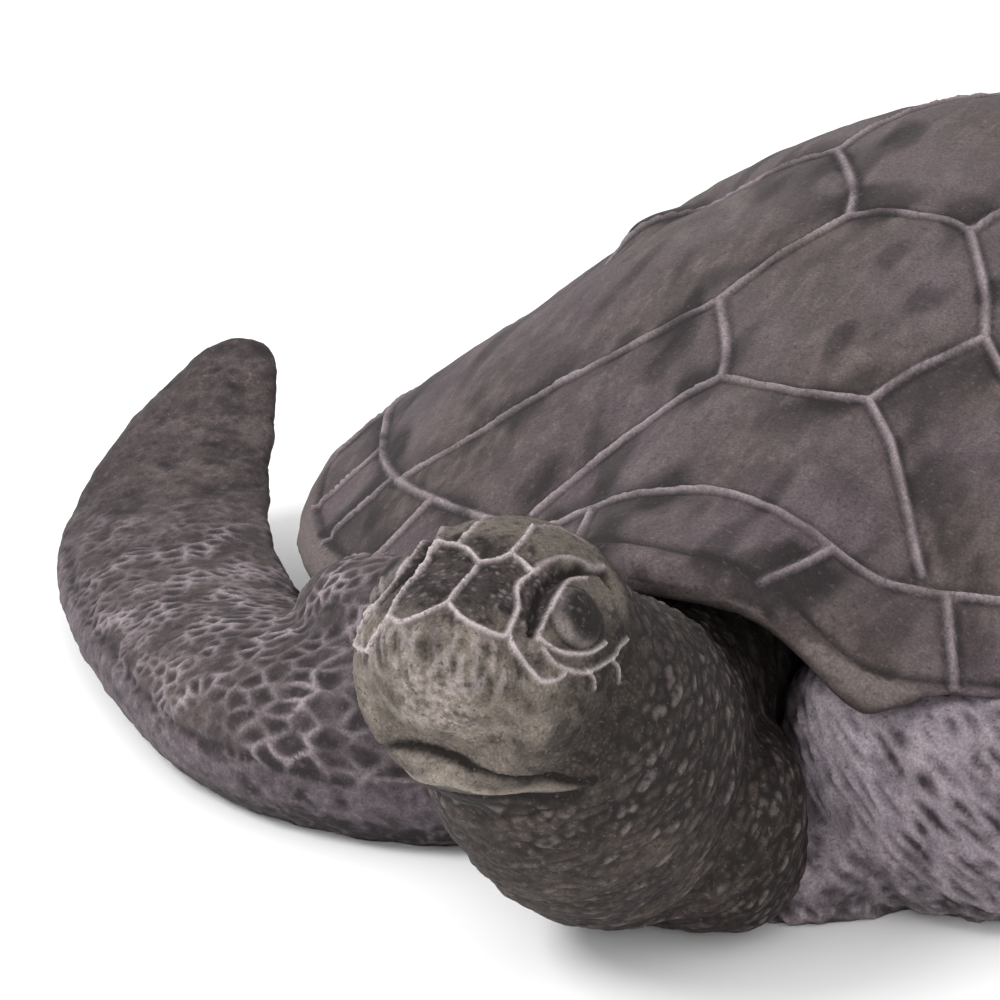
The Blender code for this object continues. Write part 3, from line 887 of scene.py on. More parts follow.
    def spur_points(self) -> Points:
        """Points along the short seams between the edge plates."""
        out = np.linspace(0, 1, 60)
        found = []
        for i, angle in enumerate(self.spur_angles):
            slant = self.spur_slant[i] if i < len(self.spur_slant) else 0
            turn = np.radians(angle + slant * out)
            s = self.marginal_share(turn) + (1.0 - self.marginal_share(turn)) * out
            for side in Side:
                found.append(self.top(s, side.value * turn))
        return np.vstack(found)

    def seam_points(self) -> Points:
        """Points along every seam between the plates, on the shell's top."""
        found = [self.spur_points()]
        for half in self.half_seams:
            line = smooth_line(half, 0.8 * MM)
            for side in Side:
                s, theta = self.polar(line[:, 0] * side.value, line[:, 1])
                found.append(self.top(s, theta))
        theta = np.radians(np.arange(0, 360, self.line_step))
        found.append(self.top(self.marginal_share(theta), theta))
        return np.vstack(found)

    def edge_points(self) -> Points:
        """Points along the line where the edge plates end above the rolled edge."""
        theta = np.radians(np.arange(0, 360, self.line_step))
        return self.top(self.edge_share + self.edge_wave * np.sin(9 * theta), theta)

    def _on_top(self, co: Points) -> Points:
        """Whether each point lies on the shell's upper face."""
        s, theta = self.polar(co[:, 0], co[:, 1])
        gap = np.abs(co[:, 2] - self.top(np.minimum(s, 1), theta)[:, 2])
        return (s < self.near_edge) & (gap < self.near_top)

    def soften_more(self, mesh: bpy.types.Mesh) -> None:
        """Round the edge a little more than the dome."""
        co = positions(mesh)
        s, _ = self.polar(co[:, 0], co[:, 1])
        relax(mesh, self.edge_rounds, np.where(np.abs(s - 1) < self.edge_band, 0.5, 0.0))

    def carve(self, co: Points, out: Points) -> Carving:
        """Pale seams with dark lines beside them, crowned plates, swellings and weathering, with painted
        shade under the edge and painted light on the higher dome and on the edge's other faces.
        """
        x, y, z = co.T
        on_top = self._on_top(co)
        s, _ = self.polar(x, y)
        seam = np.full(len(co), 1.0)
        seam[on_top] = nearest(co[on_top], self.seam_points())
        edge = nearest(co, self.edge_points())
        drawn = co * np.array(self.drawn_out)
        streaks = self.streaks.at(drawn)
        uneven = 1 + self.seam_uneven * self.seam_wear.at(co)

        height = uneven * ridge(seam, self.seam_height, self.seam_half_width, self.seam_beside)
        height += np.where(on_top, self.crown * (1 - bell(seam, self.crown_reach)) - self.crown / 2, 0)
        height -= self.edge_groove * bell(edge, self.edge_half_width)
        for aside, back, radius, swell in self.swells:
            gap = np.hypot(np.abs(x) - aside, y - back)
            height += on_top * swell * bell(gap, radius)
        weather = self.streaks.height * streaks + self.dents.height * self.dents.at(co)
        height += on_top * (weather + self.waves.height * self.waves.at(co))

        below = (~on_top) | (s > 1.0)
        worn = np.clip(0.85 + 0.9 * self.brush_wear.at(co), 0.25, 1.1)
        beside = bell(seam - self.dark_line, self.dark_half_width)
        stain = smoothstep(self.stains.at(co * np.array([1.0, 0.6, 1.0])), 0.02, 0.40)
        old = smoothstep(self.blotches.at(drawn), 0.12, 0.45)
        # Painted shade on faces that turn downwards; the edge's other faces get painted light, and
        # everything below the top less of the lighter violet.
        shade_facing_down = smoothstep(out[:, 2], -0.1, -0.7)
        line = 0.9 * bell(edge, 2.0 * MM)
        hollow = 0.65 * beside + 0.90 * stain * bell(seam, self.stain_reach) + 0.60 * old + line
        # Painted light: the higher dome is paler.
        lit = 0.25 * smoothstep(z, *self.lit_from)
        return Carving(height, {
            Tint.RIDGE: 0.85 * worn * bell(seam, self.seam_brush) * on_top,
            Tint.HOLLOW: np.where(below, 0.7 * shade_facing_down + line, hollow),
            Tint.VIOLET: 0.35 + 0.6 * self.violet_drift.at(co) - 0.3 * below,
            Tint.PALE: np.where(below, 0.6 * (1 - shade_facing_down), lit + 0.30 * smoothstep(streaks, 0.15, 0.5)),
        })

    def fineness(self, co: Points) -> Points:
        """The dome is fine, the hidden underside is not."""
        return np.where(self._on_top(co), 1.0, 0.2)


@dataclass
class HeadAndNeck(CastPiece):
    """The raised head with its plates, eyes and mouth, and the wrinkled neck and throat."""

    name: str = "head_and_neck"
    voxel: float = 0.95 * MM
    budget: int = 194000
    soften: float = 3.6 * MM
    finish: StoneFinish = HEAD_FINISH

    centre: Triple = (-0.017, -0.390, 0.131)
    pitch: float = math.radians(14)
    yaw: float = math.radians(-2)
    middle: float = 2.5 * MM
    neck: Limb = Limb(
        (
            (-0.005, -0.200, 0.062, 0.034, 0.052, 0),
            (-0.006, -0.264, 0.055, 0.037, 0.052, 0),
            (-0.005, -0.318, 0.062, 0.049, 0.060, 0),
            (-0.005, -0.355, 0.085, 0.052, 0.058, 0),
            (-0.010, -0.380, 0.112, 0.048, 0.048, 0),
            (-0.017, -0.395, 0.130, 0.040, 0.038, 0),
        ),
        blunt=6,
        square=2.1,
    )
    throat: Limb = Limb(
        (
            (0.000, -0.240, 0.036, 0.028, 0.038, 0),
            (0.008, -0.277, 0.036, 0.038, 0.038, 0),
            (0.018, -0.312, 0.036, 0.044, 0.037, 0),
            (0.022, -0.344, 0.036, 0.032, 0.031, 0),
        ),
        blunt=3,
        square=3,
    )
    skull: Line = (
        (-0.055, -0.002, 0.034, 0.034),
        (-0.030, -0.002, 0.042, 0.043),
        (0.000, -0.002, 0.046, 0.048),
        (0.026, -0.0045, 0.043, 0.0435),
        (0.046, -0.0040, 0.0365, 0.0323),
        (0.060, -0.0098, 0.0252, 0.0238),
    )
    jaw: Line = (
        (-0.035, -0.018, 0.036, 0.030),
        (-0.005, -0.026, 0.040, 0.030),
        (0.017, -0.032, 0.030, 0.024),
        (0.031, -0.035, 0.018, 0.018),
    )
    # Lines of the head in millimetres forward, left and up from its centre.
    plates: tuple[Line, ...] = (
        ((57, -17, 14), (55, -17, 18), (47, -18, 25), (39, -20, 32), (30, -20, 36)),
        ((30, -20, 36), (28, -17, 38), (30, -10, 40), (33, -4, 40), (37, 2, 37)),
        ((37, 2, 37), (43, 3, 33), (50, 3, 29), (56, 3, 22)),
        ((56, 3, 22), (60, 0, 20), (60, -5, 16), (59, -11, 13), (57, -17, 14)),
        ((37, 2, 37), (32, 8, 38), (29, 11, 40)),
        ((29, 11, 40), (29, 16, 37), (32, 22, 35)),
        ((32, 22, 35), (37, 20, 33), (42, 21, 29), (46, 24, 24), (52, 24, 15)),
        ((56, 3, 22), (60, 9, 19), (58, 16, 16), (55, 23, 14), (52, 24, 15)),
        ((52, 24, 15), (53, 27, 11), (51, 32, 5), (46, 35, 0), (42, 38, 0), (36, 39, 2)),
        ((29, 11, 40), (20, 11, 43), (8, 8, 44)),
        ((30, -10, 40), (22, -9, 42), (14, -10, 45)),
        ((57, -17, 14), (57, -20, 8), (56, -24, 1)),
        ((56, -24, 1), (50, -30, 0), (42, -34, 0), (36, -34, 2)),
    )
    faint_lines: tuple[Line, ...] = (
        ((42, -20, 29), (30, -20, 36)),
        ((42, -30, 17), (34, -35, 22)),
        ((8, 8, 44), (-4, 12, 43), (-12, 24, 37)),
        ((14, -10, 45), (0, -12, 44), (-12, -20, 38)),
    )
    brow: Line = ((31, 22, 35), (25, 23, 37), (18, 25, 38), (11, 28, 37), (5, 31, 35), (-2, 32, 34))
    brow_groove: Line = (
        (44, 29, 15), (42, 29, 20), (37, 27, 25), (31, 26, 29),
        (22, 27, 32), (11, 29, 33), (1, 32, 32), (-1, 35, 28),
    )
    upper_lid: Line = ((12, 33, 32), (22, 31, 32), (33, 31, 25), (40, 31, 18), (44, 31, 13))
    lower_lid: Line = ((43, 32, 13), (37, 37, 9), (24, 40, 8), (15, 43, 11))
    fold: Line = (
        (43, 33, 10), (39, 37, 5), (29, 42, 2), (22, 44, 3), (11, 45, 6), (6, 45, 9), (-1, 44, 11),
    )
    small_ridges: tuple[Line, ...] = (
        ((27, 43, 3), (22, 43, 0), (21, 44, -4)),
        ((11, 45, 5), (7, 46, 2), (6, 46, -3)),
    )
    eye: Triple = (26, 37, 20)
    pupil: Triple = (22.5, 38, 20.5)
    eye_radius: float = 11.0 * MM
    pupil_radius: float = 11.6 * MM
    eye_height: float = 3.4 * MM
    plate_height: float = 1.15 * MM
    plate_half_width: float = 0.85 * MM
    furrows: tuple[Line, ...] = (
        ((61, -1, 13), (63, 0, 4), (62, 0, -6)),
        ((62, 3, 12), (63, 3, 2), (62, 4, -4)),
        ((60, -7, 12), (62, -7, 5), (62, -7, -4)),
        ((60, -12, 10), (61, -12, 2), (60, -12, -8)),
        ((61, 9, 10), (61, 10, 2), (60, 12, -6)),
        ((57, 17, 10), (56, 19, 2)),
    )
    mouth: Line = (
        (9, -40, -37), (17, -36, -38), (31, -27, -35), (40, -17, -31), (41, -1, -31.5),
        (40, 14, -34), (32, 25, -37), (17, 34, -38.5), (9, 42, -37),
    )
    lip: Line = (
        (9, -40, -40), (24, -22, -43), (33, -11, -42), (39, -2, -41), (39, 4, -41),
        (33, 12, -43), (24, 21, -44), (17, 31, -42), (9, 41, -39),
    )
    chin: Line = (
        (9, -40, -43), (20, -20, -48), (26, -6, -50), (26, 6, -50),
        (20, 20, -48), (15, 33, -46), (9, 43, -41),
    )
    # Heights and half widths of what is raised or sunk round the eyes and the mouth.
    brow_form: Span = (2.0 * MM, 2.4 * MM)
    groove_form: Span = (-2.6 * MM, 1.8 * MM)
    upper_form: Span = (1.2 * MM, 1.1 * MM)
    lower_form: Span = (1.4 * MM, 0.9 * MM)
    fold_form: Span = (1.2 * MM, 0.9 * MM)
    small_form: Span = (0.8 * MM, 0.7 * MM)
    lip_form: Span = (1.2 * MM, 2.8 * MM)
    mouth_form: Span = (-2.2 * MM, 1.3 * MM)
    chin_form: Span = (-1.8 * MM, 1.5 * MM)
    furrow_form: Span = (0.8 * MM, 1.0 * MM)
    # Where the regions fade in, in metres forward, left and up from the head's centre.
    head_from: Span = (-0.016, 0.002)
    head_reach: Span = (0.080, 0.068)
    head_floor: Span = (-0.052, -0.046)
    front_from: Span = (0.040, 0.052)
    nose_floor: Span = (-0.026, -0.018)
    nose_top: Span = (0.002, -0.006)
    nose_side: Span = (0.018, 0.010)
    snout_floor: Span = (-0.010, 0.0)
    snout_top: Span = (0.016, 0.010)
    top_from: Span = (0.012, 0.024)
    crown_to: Span = (0.030, 0.018)
    ahead_from: Span = (0.012, 0.050)
    # Unevenness of the face and the neck.
    beads: Wander = Wander(2.6 * MM, 17.0)
    mottle: Wander = Wander(4.5 * MM, 3.0, 0.35 * MM)
    fine_dents: Wander = Wander(2.2 * MM, 2.0, 0.30 * MM)
    upright: Wander = Wander(3.0 * MM, 5.0, 0.7 * MM)
    pale_drift: Wander = Wander(7 * MM, 1.0)
    skin_drift: Wander = Wander(14 * MM, 1.0, 2.0 * MM)
    skin_dents: Wander = Wander(3.2 * MM, 8.0, 0.35 * MM)
    fold_drift: Wander = Wander(18 * MM, 4.0, 2 * MM)
    violet_drift: Wander = Wander(20 * MM, 6.0)
    pebble_size: float = 2.6 * MM
    pebble_height: float = 0.35 * MM
    pebble_gap: float = 0.55 * MM
    nose_pit: float = 1.1 * MM
    skin_scale: float = 5.6 * MM
    skin_stretch: float = 0.42
    skin_gap: float = 0.62 * MM
    skin_fold: float = 0.8 * MM
    fold_spacing: float = 0.014
    first_fold: float = 0.062

    def axes(self) -> Points:
        """The head's forward, left and up directions, one row each."""
        forward = Vector((math.sin(self.yaw), -math.cos(self.yaw), math.tan(self.pitch))).normalized()
        left = Vector((0, 0, 1)).cross(forward).normalized()
        return np.array([forward, left, forward.cross(left)])

    def _head_limb(self, profile: Line, blunt: float) -> Limb:
        """A limb along the head, with level sections."""
        forward, _, up = self.axes()
        rows = []
        for ahead, rise, wide, high in profile:
            rows.append((*(np.array(self.centre) + forward * ahead + up * rise), wide, high, 0))
        return Limb(tuple(rows), blunt=blunt, around=72)

    def cages(self) -> list[bpy.types.Mesh]:
        """Neck, throat, skull and jaw."""
        limbs = [self.neck, self.throat, self._head_limb(self.skull, 3.5), self._head_limb(self.jaw, 3.0)]
        return [limb.cage() for limb in limbs]

    def place(self, co: Points) -> Points:
        """Each point as forward, left and up from the head's centre."""
        return (co - np.array(self.centre)) @ self.axes().T

    def _both(self, line: Line) -> list[Points]:
        """The line in metres on both sides of the head's middle."""
        right = np.asarray(line, float) * MM
        other = right.copy()
        other[:, 1] = 2 * self.middle - other[:, 1]
        return [right, other]

    def distance(self, place: Points, lines: list[Points]) -> Points:
        """Distance over the head from each place to the lines, measured by direction."""
        reach = np.linalg.norm(place, axis=1)
        points = np.vstack([smooth_line(line, 0.4 * MM) if len(line) > 1 else line for line in lines])
        points = points / np.linalg.norm(points, axis=1, keepdims=True)
        return nearest(place / reach[:, None], points) * reach

    def _paired(self, place: Points, line: Line) -> Points:
        """Distance to a line that both sides of the head have."""
        return self.distance(place, self._both(line))

    def masks(self, place: Points) -> dict[str, Points]:
        """Soft masks of the head's regions, each from 0 to 1."""
        reach = np.linalg.norm(place, axis=1)
        forward, left, up = place.T
        aside = np.abs(left - self.middle)
        head = smoothstep(forward + 0.25 * up, *self.head_from) * smoothstep(reach, *self.head_reach)
        head *= smoothstep(up, *self.head_floor)
        front = smoothstep(forward, *self.front_from) * head
        nose = front * smoothstep(up, *self.nose_floor) * smoothstep(up, *self.nose_top)
        nose *= smoothstep(aside, *self.nose_side)
        snout = front * smoothstep(up, *self.snout_floor) * smoothstep(up, *self.snout_top)
        return {"head": head, "nose": nose, "snout": snout}

    def _skin_place(self, co: Points, place: Points) -> Points:
        """Points spread by their distance from the head and shortened round the neck."""
        reach = np.linalg.norm(place, axis=1)
        turn = np.arctan2(place[:, 1], -place[:, 2])
        drift = self.skin_drift.height * self.skin_drift.at(co)
        # The neck's radius of 55 mm turns the angle into a length.
        return np.stack([reach + drift, self.skin_stretch * turn * 55 * MM, 0.3 * co[:, 1]], -1)

    def _lines(self, place: Points, lines: tuple[Line, ...]) -> Points:
        """Distance to lines that are given in millimetres."""
        return self.distance(place, [np.asarray(line, float) * MM for line in lines])

    def _eye(self, near: Points) -> tuple[Points, dict[Tint, Points]]:
        """Height and colour of the eyes, their lids, the brows and the folds below."""
        ball = self.distance(near, self._both((self.eye,)))
        from_pupil = self.distance(near, self._both((self.pupil,)))
        pupil = smoothstep(from_pupil, self.pupil_radius, 0.55 * self.pupil_radius)
        inside = smoothstep(ball, self.eye_radius + 0.4 * MM, self.eye_radius - 0.6 * MM)
        parts = (self.brow, self.brow_groove, self.upper_lid, self.lower_lid, self.fold)
        brow, groove, upper, lower, fold = (self._paired(near, line) for line in parts)
        small = np.min([self._paired(near, line) for line in self.small_ridges], axis=0)

        height = self.eye_height * np.sqrt(np.maximum(0, 1 - (ball / self.eye_radius) ** 2))
        height += raised(brow, self.brow_form) + raised(groove, self.groove_form)
        height += raised(upper, self.upper_form) + raised(lower, self.lower_form)
        height += ridge(fold, *self.fold_form) + ridge(small, *self.small_form)
        lines = 0.75 * bell(upper, 0.7 * MM) + bell(lower, 0.75 * MM) + 0.75 * bell(fold, 0.8 * MM)
        lines += 0.75 * bell(small, 0.65 * MM) + 0.45 * bell(brow, 1.1 * MM)
        rim = 0.6 * bell(ball - self.eye_radius, 1.0 * MM)
        tints = {
            Tint.RIDGE: np.clip(lines + 0.16 * inside, 0, 1) * (1 - pupil),
            Tint.HOLLOW: 0.95 * bell(groove, 1.7 * MM) + 0.9 * pupil + rim,
        }
        return height, tints

    def _mouth(self, near: Points) -> tuple[Points, dict[Tint, Points]]:
        """Height and colour of the mouth and the smooth band of the lower lip."""
        mouth, lip, chin = (self._lines(near, (line,)) for line in (self.mouth, self.lip, self.chin))
        height = raised(lip, self.lip_form) + raised(mouth, self.mouth_form)
        height += raised(chin, self.chin_form)
        tints = {
            Tint.PALE: 0.75 * bell(lip, 2.9 * MM),
            Tint.HOLLOW: 0.95 * bell(mouth, 1.4 * MM) + 0.75 * bell(chin, 1.6 * MM),
        }
        return height, tints

    def _face(self, co: Points, place: Points, masks: dict[str, Points]) -> Carving:
        """Plates, eyes, snout and mouth, 0 off the head.

        Args:
            co: The points.
            place: The same points as forward, left and up from the head's centre.
            masks: The masks of the head's regions.

        Returns:
            The face's carving.
        """
        near = masks["head"] > 0.01
        found = Carving(np.zeros(len(co)), {tint: np.zeros(len(co)) for tint in Tint})
        spot, here = place[near], co[near]
        head, snout, nose = (masks[name][near] for name in ("head", "snout", "nose"))
        plates = self._lines(spot, self.plates)
        faint = self._lines(spot, self.faint_lines)
        beads = 1 + 0.35 * self.beads.at(here)
        furrows = self._lines(spot, self.furrows)
        net = ScaleNet(here, np.full(len(here), self.pebble_size), self.voxel**2, SEED + 2)
        border, lot = net.measure(here)
        pebble = 1 - bell(border, self.pebble_gap)
        mottle = self.mottle.at(here)
        fine = self.fine_dents.at(here)
        upright = self.upright.at(spot * np.array([1.0, 1.0, 0.35]))
        eye_height, eye_tints = self._eye(spot)
        mouth_height, mouth_tints = self._mouth(spot)
        lip = mouth_tints[Tint.PALE]
        smooth = np.clip(lip + bell(self.distance(spot, self._both((self.eye,))), 11 * MM), 0, 1)

        height = beads * ridge(plates, self.plate_height, self.plate_half_width, 0.5)
        height += 0.45 * beads * ridge(faint, self.plate_height, self.plate_half_width)
        height += eye_height + mouth_height
        height -= raised(furrows, self.furrow_form) * snout
        height += self.upright.height * upright * snout - self.nose_pit * np.maximum(0, fine - 0.08) * nose
        dents = self.mottle.height * mottle + self.fine_dents.height * fine
        height += (1 - smooth) * (self.pebble_height * pebble + dents)
        found.height[near] = height * head

        forward, _, up = spot.T
        top = smoothstep(up, *self.top_from)
        crown = top * smoothstep(forward, *self.crown_to)
        dark_plate = top * (1 - crown)
        ahead = smoothstep(forward, *self.ahead_from)
        lit_bits = smoothstep(lot, 0.72, 0.95) * pebble
        lines = np.clip(beads, 0.45, 1.1) * bell(plates, 0.85 * MM) + 0.35 * bell(faint, 0.8 * MM)
        ridges = 0.95 * lines + eye_tints[Tint.RIDGE] + 0.30 * dark_plate * lit_bits
        ridges += 0.30 * nose * smoothstep(fine, -0.1, 0.35) + 0.30 * snout * smoothstep(upright, 0.0, 0.4)
        # Below the plates the face is paler towards the snout and darker behind: partly its own tone,
        # partly painted light and painted shade.
        hollow = 0.45 * dark_plate * (0.7 + mottle) + 0.45 * (1 - top) * (1 - ahead)
        hollow += 0.45 * (1 - pebble) * (1 - smooth) * (1 - 0.5 * crown)
        hollow += 0.40 * smoothstep(mottle, 0.05, 0.40)
        hollow += 0.35 * nose * smoothstep(fine, 0.0, -0.35)
        hollow += snout * (0.45 * bell(furrows, 0.9 * MM) + 0.45 * smoothstep(upright, -0.05, -0.40))
        hollow *= 1 - 0.35 * ahead * (1 - top)
        hollow *= 1 - 0.8 * lip
        pale = (1 - top) * (0.05 + 0.75 * ahead) * (0.75 + 0.9 * self.pale_drift.at(here))
        tints = {
            Tint.RIDGE: ridges,
            Tint.HOLLOW: hollow + eye_tints[Tint.HOLLOW] + mouth_tints[Tint.HOLLOW],
            Tint.PALE: pale + lip + 0.35 * nose + 0.40 * crown,
            Tint.VIOLET: 0.5 * dark_plate,
        }
        for tint, values in tints.items():
            found.tints[tint][near] = head * values
        return found

    def carve(self, co: Points, out: Points) -> Carving:
        """The face, and the skin of the neck in strokes and pebbles between dark creases."""
        place = self.place(co)
        masks = self.masks(place)
        found = self._face(co, place, masks)
        off_head = 1 - masks["head"]
        near = off_head > 0.01
        here, spot, bare = co[near], place[near], off_head[near]
        spread = self._skin_place(co, place)[near]
        reach = np.linalg.norm(spot, axis=1)
        size = np.where(here[:, 1] > -0.25, 2.0, 1.0) * self.skin_scale
        net = ScaleNet(spread, size, 0.5 * self.voxel**2, SEED + 3)
        border, lot = net.measure(spread)
        scale = 1 - bell(border, self.skin_gap)
        rough = self.skin_dents.at(here)
        drift = self.fold_drift.height * self.fold_drift.at(here)
        folds = 0.5 + 0.5 * np.cos(2 * math.pi * (reach + drift - self.first_fold) / self.fold_spacing)
        lifted = 0.5 + 0.8 * (lot - 0.5)
        height = MM * (0.95 * scale * lifted - 0.55) + self.skin_dents.height * rough
        found.height[near] += bare * (height - self.skin_fold * (1 - folds))

        crest = scale * smoothstep(lot, 0.55, 0.95) * smoothstep(rough, -0.30, 0.25)
        crease = 0.12 + 0.75 * (1 - scale) + 0.40 * (1 - folds) * (1 - 0.6 * crest)
        crease += 0.40 * smoothstep(rough, 0.0, -0.4)
        under_chin = smoothstep(spot[:, 2], -0.045, -0.065) * smoothstep(here[:, 1], -0.320, -0.345)
        crease *= 1 - 0.45 * under_chin
        found.tints[Tint.RIDGE][near] += bare * 0.17 * crest
        found.tints[Tint.HOLLOW][near] += bare * crease
        found.tints[Tint.VIOLET][near] += bare * (0.12 + 0.3 * self.violet_drift.at(here))
        return found

    def fineness(self, co: Points) -> Points:
        """The head is fine, the neck inside the shell is not."""
        return smoothstep(co[:, 1], -0.230, -0.290)


@dataclass
class BodyAndLimbs(CastPiece):
    """The trunk, shoulders, flippers and tail, with a net of scales on the front flippers."""

    name: str = "body_and_limbs"
    voxel: float = 1.50 * MM
    budget: int = 196000
    soften: float = 5.0 * MM
    finish: StoneFinish = SKIN_FINISH

    trunk_size: Triple = (0.390, 0.490, 0.110)
    trunk_centre: Triple = (0.0, 0.012, 0.042)
    set_back: float = 0.050
    set_back_over: float = 0.075
    chest: Limb = Limb(
        (
            (-0.010, -0.262, 0.012, 0.034, 0.020, 0),
            (0.042, -0.266, 0.012, 0.034, 0.021, 0),
            (0.078, -0.240, 0.012, 0.026, 0.020, 0),
            (0.120, -0.222, 0.012, 0.026, 0.018, 0),
        ),
        square=3,
    )
    shoulder: Limb = Limb(
        (
            (0.030, -0.236, 0.050, 0.034, 0.046, 0),
            (0.078, -0.238, 0.049, 0.046, 0.052, 0),
            (0.116, -0.236, 0.048, 0.047, 0.050, 0),
            (0.150, -0.209, 0.045, 0.040, 0.038, 0),
            (0.170, -0.184, 0.042, 0.030, 0.024, 0),
        ),
        square=2.8,
    )
    front_flipper: Limb = Limb(
        (
            (0.022, -0.200, 0.040, 0.052, 0.049, 0),
            (0.076, -0.240, 0.037, 0.055, 0.049, 2),
            (0.120, -0.256, 0.035, 0.056, 0.043, 5),
            (0.1755, -0.2470, 0.029, 0.0505, 0.032, 8),
            (0.2330, -0.2030, 0.0275, 0.0450, 0.0225, 11),
            (0.2770, -0.1525, 0.031, 0.0455, 0.016, 17),
            (0.3060, -0.0990, 0.036, 0.0485, 0.014, 17),
            (0.313, -0.054, 0.056, 0.044, 0.013, 8),
            (0.310, -0.011, 0.085, 0.034, 0.011, 0),
        ),
        blunt=3,
        lead=-0.15,
    )
    hind_flipper: Limb = Limb(
        (
            (0.090, 0.170, 0.045, 0.040, 0.034, 0),
            (0.130, 0.230, 0.034, 0.040, 0.026, 0),
            (0.170, 0.290, 0.022, 0.042, 0.016, 0),
            (0.195, 0.340, 0.014, 0.042, 0.010, 0),
            (0.205, 0.385, 0.008, 0.024, 0.007, 0),
        ),
        blunt=3,
    )
    tail: Limb = Limb(
        (
            (0.0, 0.200, 0.045, 0.040, 0.034, 0),
            (0.0, 0.265, 0.028, 0.028, 0.022, 0),
            (0.0, 0.320, 0.014, 0.018, 0.013, 0),
            (0.0, 0.360, 0.008, 0.008, 0.007, 0),
        ),
        blunt=3,
    )
    # The net of scales, and the shoulder's folds, which the shell's edge tucks in.
    wide_scale: float = 11 * MM
    fine_scale: float = 6.5 * MM
    plain_scale: float = 12 * MM
    finer_from: float = 0.12
    finer_over: float = 0.13
    ridge_half_width: float = 0.8 * MM
    fold_half_width: float = 1.6 * MM
    fold_size: float = 6.5 * MM
    net_height: float = 0.7 * MM
    fold_height: float = 1.7 * MM
    tuck: float = 7.0 * MM
    crease_form: Span = (1.2 * MM, 2.2 * MM)
    crease_level: float = 0.031
    # Where the regions fade in, in metres.
    tip_from: Span = (-0.175, -0.100)
    tip_aside: Span = (0.22, 0.25)
    shoulder_inner: Span = (0.020, 0.040)
    shoulder_outer: Span = (0.20, 0.16)
    shoulder_back: Span = (-0.130, -0.180)
    front_back: Span = (-0.10, -0.15)
    low_from: Span = (0.036, 0.026)
    # The cleft between the neck and the left shoulder, which is painted as shade.
    cleft_side: Span = (0.048, 0.034)
    cleft_floor: Span = (0.012, 0.040)
    tuck_from: Span = (0.078, 0.096)
    folds_top: Span = (0.098, 0.086)
    lumps_top: Span = (0.104, 0.090)
    fold_shade_from: Span = (0.072, 0.095)
    lit_side: Span = (0.092, 0.070)
    lit_floor: Span = (0.035, 0.060)
    # Unevenness of the skin.
    bend: float = 2.5 * MM
    bend_size: float = 13 * MM
    net_wear: Wander = Wander(11 * MM, 16.0)
    fold_drift: Wander = Wander(16 * MM, 18.0, 1.6 * MM)
    lumps: Wander = Wander(14 * MM, 11.0, 0.80 * MM)
    rough: Wander = Wander(5 * MM, 12.0, 0.45 * MM)
    grain: Wander = Wander(2.8 * MM, 19.0, 0.22 * MM)
    patches: Wander = Wander(22 * MM, 14.0)
    tip_furrows: Wander = Wander(9 * MM, 20.0, 0.5 * MM)
    crease_drift: Wander = Wander(30 * MM, 13.0, 0.004)
    blotches: Wander = Wander(9 * MM, 15.0)
    mottles: Wander = Wander(6 * MM, 22.0)

    def cages(self) -> list[bpy.types.Mesh]:
        """The trunk and all the limbs."""

        def place(unit: Points) -> Points:
            """Where a unit sphere's points come to lie on the trunk."""
            return unit * np.array(self.trunk_size) / 2 + np.array(self.trunk_centre)

        left_flipper = self.front_flipper.set_back(self.set_back, self.set_back_over)
        limbs = [self.chest, self.chest.mirrored(), self.shoulder, self.shoulder.mirrored()]
        limbs += [left_flipper, self.front_flipper.mirrored()]
        limbs += [self.hind_flipper, self.hind_flipper.mirrored(), self.tail]
        return [ball_mesh("trunk", 96, 48, place)] + [limb.cage() for limb in limbs]

    def net_place(self, co: Points) -> Points:
        """Points bent a little and shortened along the limb, so that the scales are longer there."""
        bends = [Wander(self.bend_size, pattern).at(co) for pattern in (1.0, 2.0, 3.0)]
        bent = co + self.bend * np.stack(bends, -1)
        return bent * np.array([0.60, 1.0, 1.0])

    def scale_size(self, co: Points) -> Points:
        """The wanted size of a scale: smaller towards the flippers' elbows."""
        out = np.clip((np.abs(co[:, 0]) - self.finer_from) / self.finer_over, 0, 1)
        size = self.wide_scale + (self.fine_scale - self.wide_scale) * out
        return np.where(co[:, 1] > 0.0, self.plain_scale, size)

    def masks(self, co: Points, out: Points) -> dict[str, Points]:
        """Soft masks of the skin's regions, each from 0 to 1."""
        x, y, z = co.T
        aside = np.abs(x)
        along = y - np.where(x > 0, self.set_back, 0)
        tip = smoothstep(along, *self.tip_from) * smoothstep(aside, *self.tip_aside)
        shoulder = smoothstep(x, *self.shoulder_inner) * smoothstep(aside, *self.shoulder_outer)
        shoulder = shoulder * smoothstep(y, *self.shoulder_back)
        front = smoothstep(out[:, 1], 0.1, -0.4) * smoothstep(y, *self.front_back)
        low = smoothstep(z, *self.low_from) * front
        cleft_shade = shoulder * smoothstep(x, *self.cleft_side) * smoothstep(z, *self.cleft_floor)
        return {"tip": tip, "shoulder": shoulder, "front": front, "low": low, "cleft_shade": cleft_shade}

    def _folds(self, co: Points) -> tuple[Points, Points]:
        """Distance to the shoulder's folds, which run outwards and down, and the lot between them."""
        x, y, z = co.T
        outward, upward = x - z, x + z
        folded = np.stack([0.18 * outward, 0.70 * upward, 0.45 * y], -1)
        folded = folded + self.fold_drift.height * self.fold_drift.at(co)[:, None]
        folds = ScaleNet(folded, np.full(len(co), self.fold_size), 0.25 * self.voxel**2, SEED + 4)
        return folds.measure(folded)

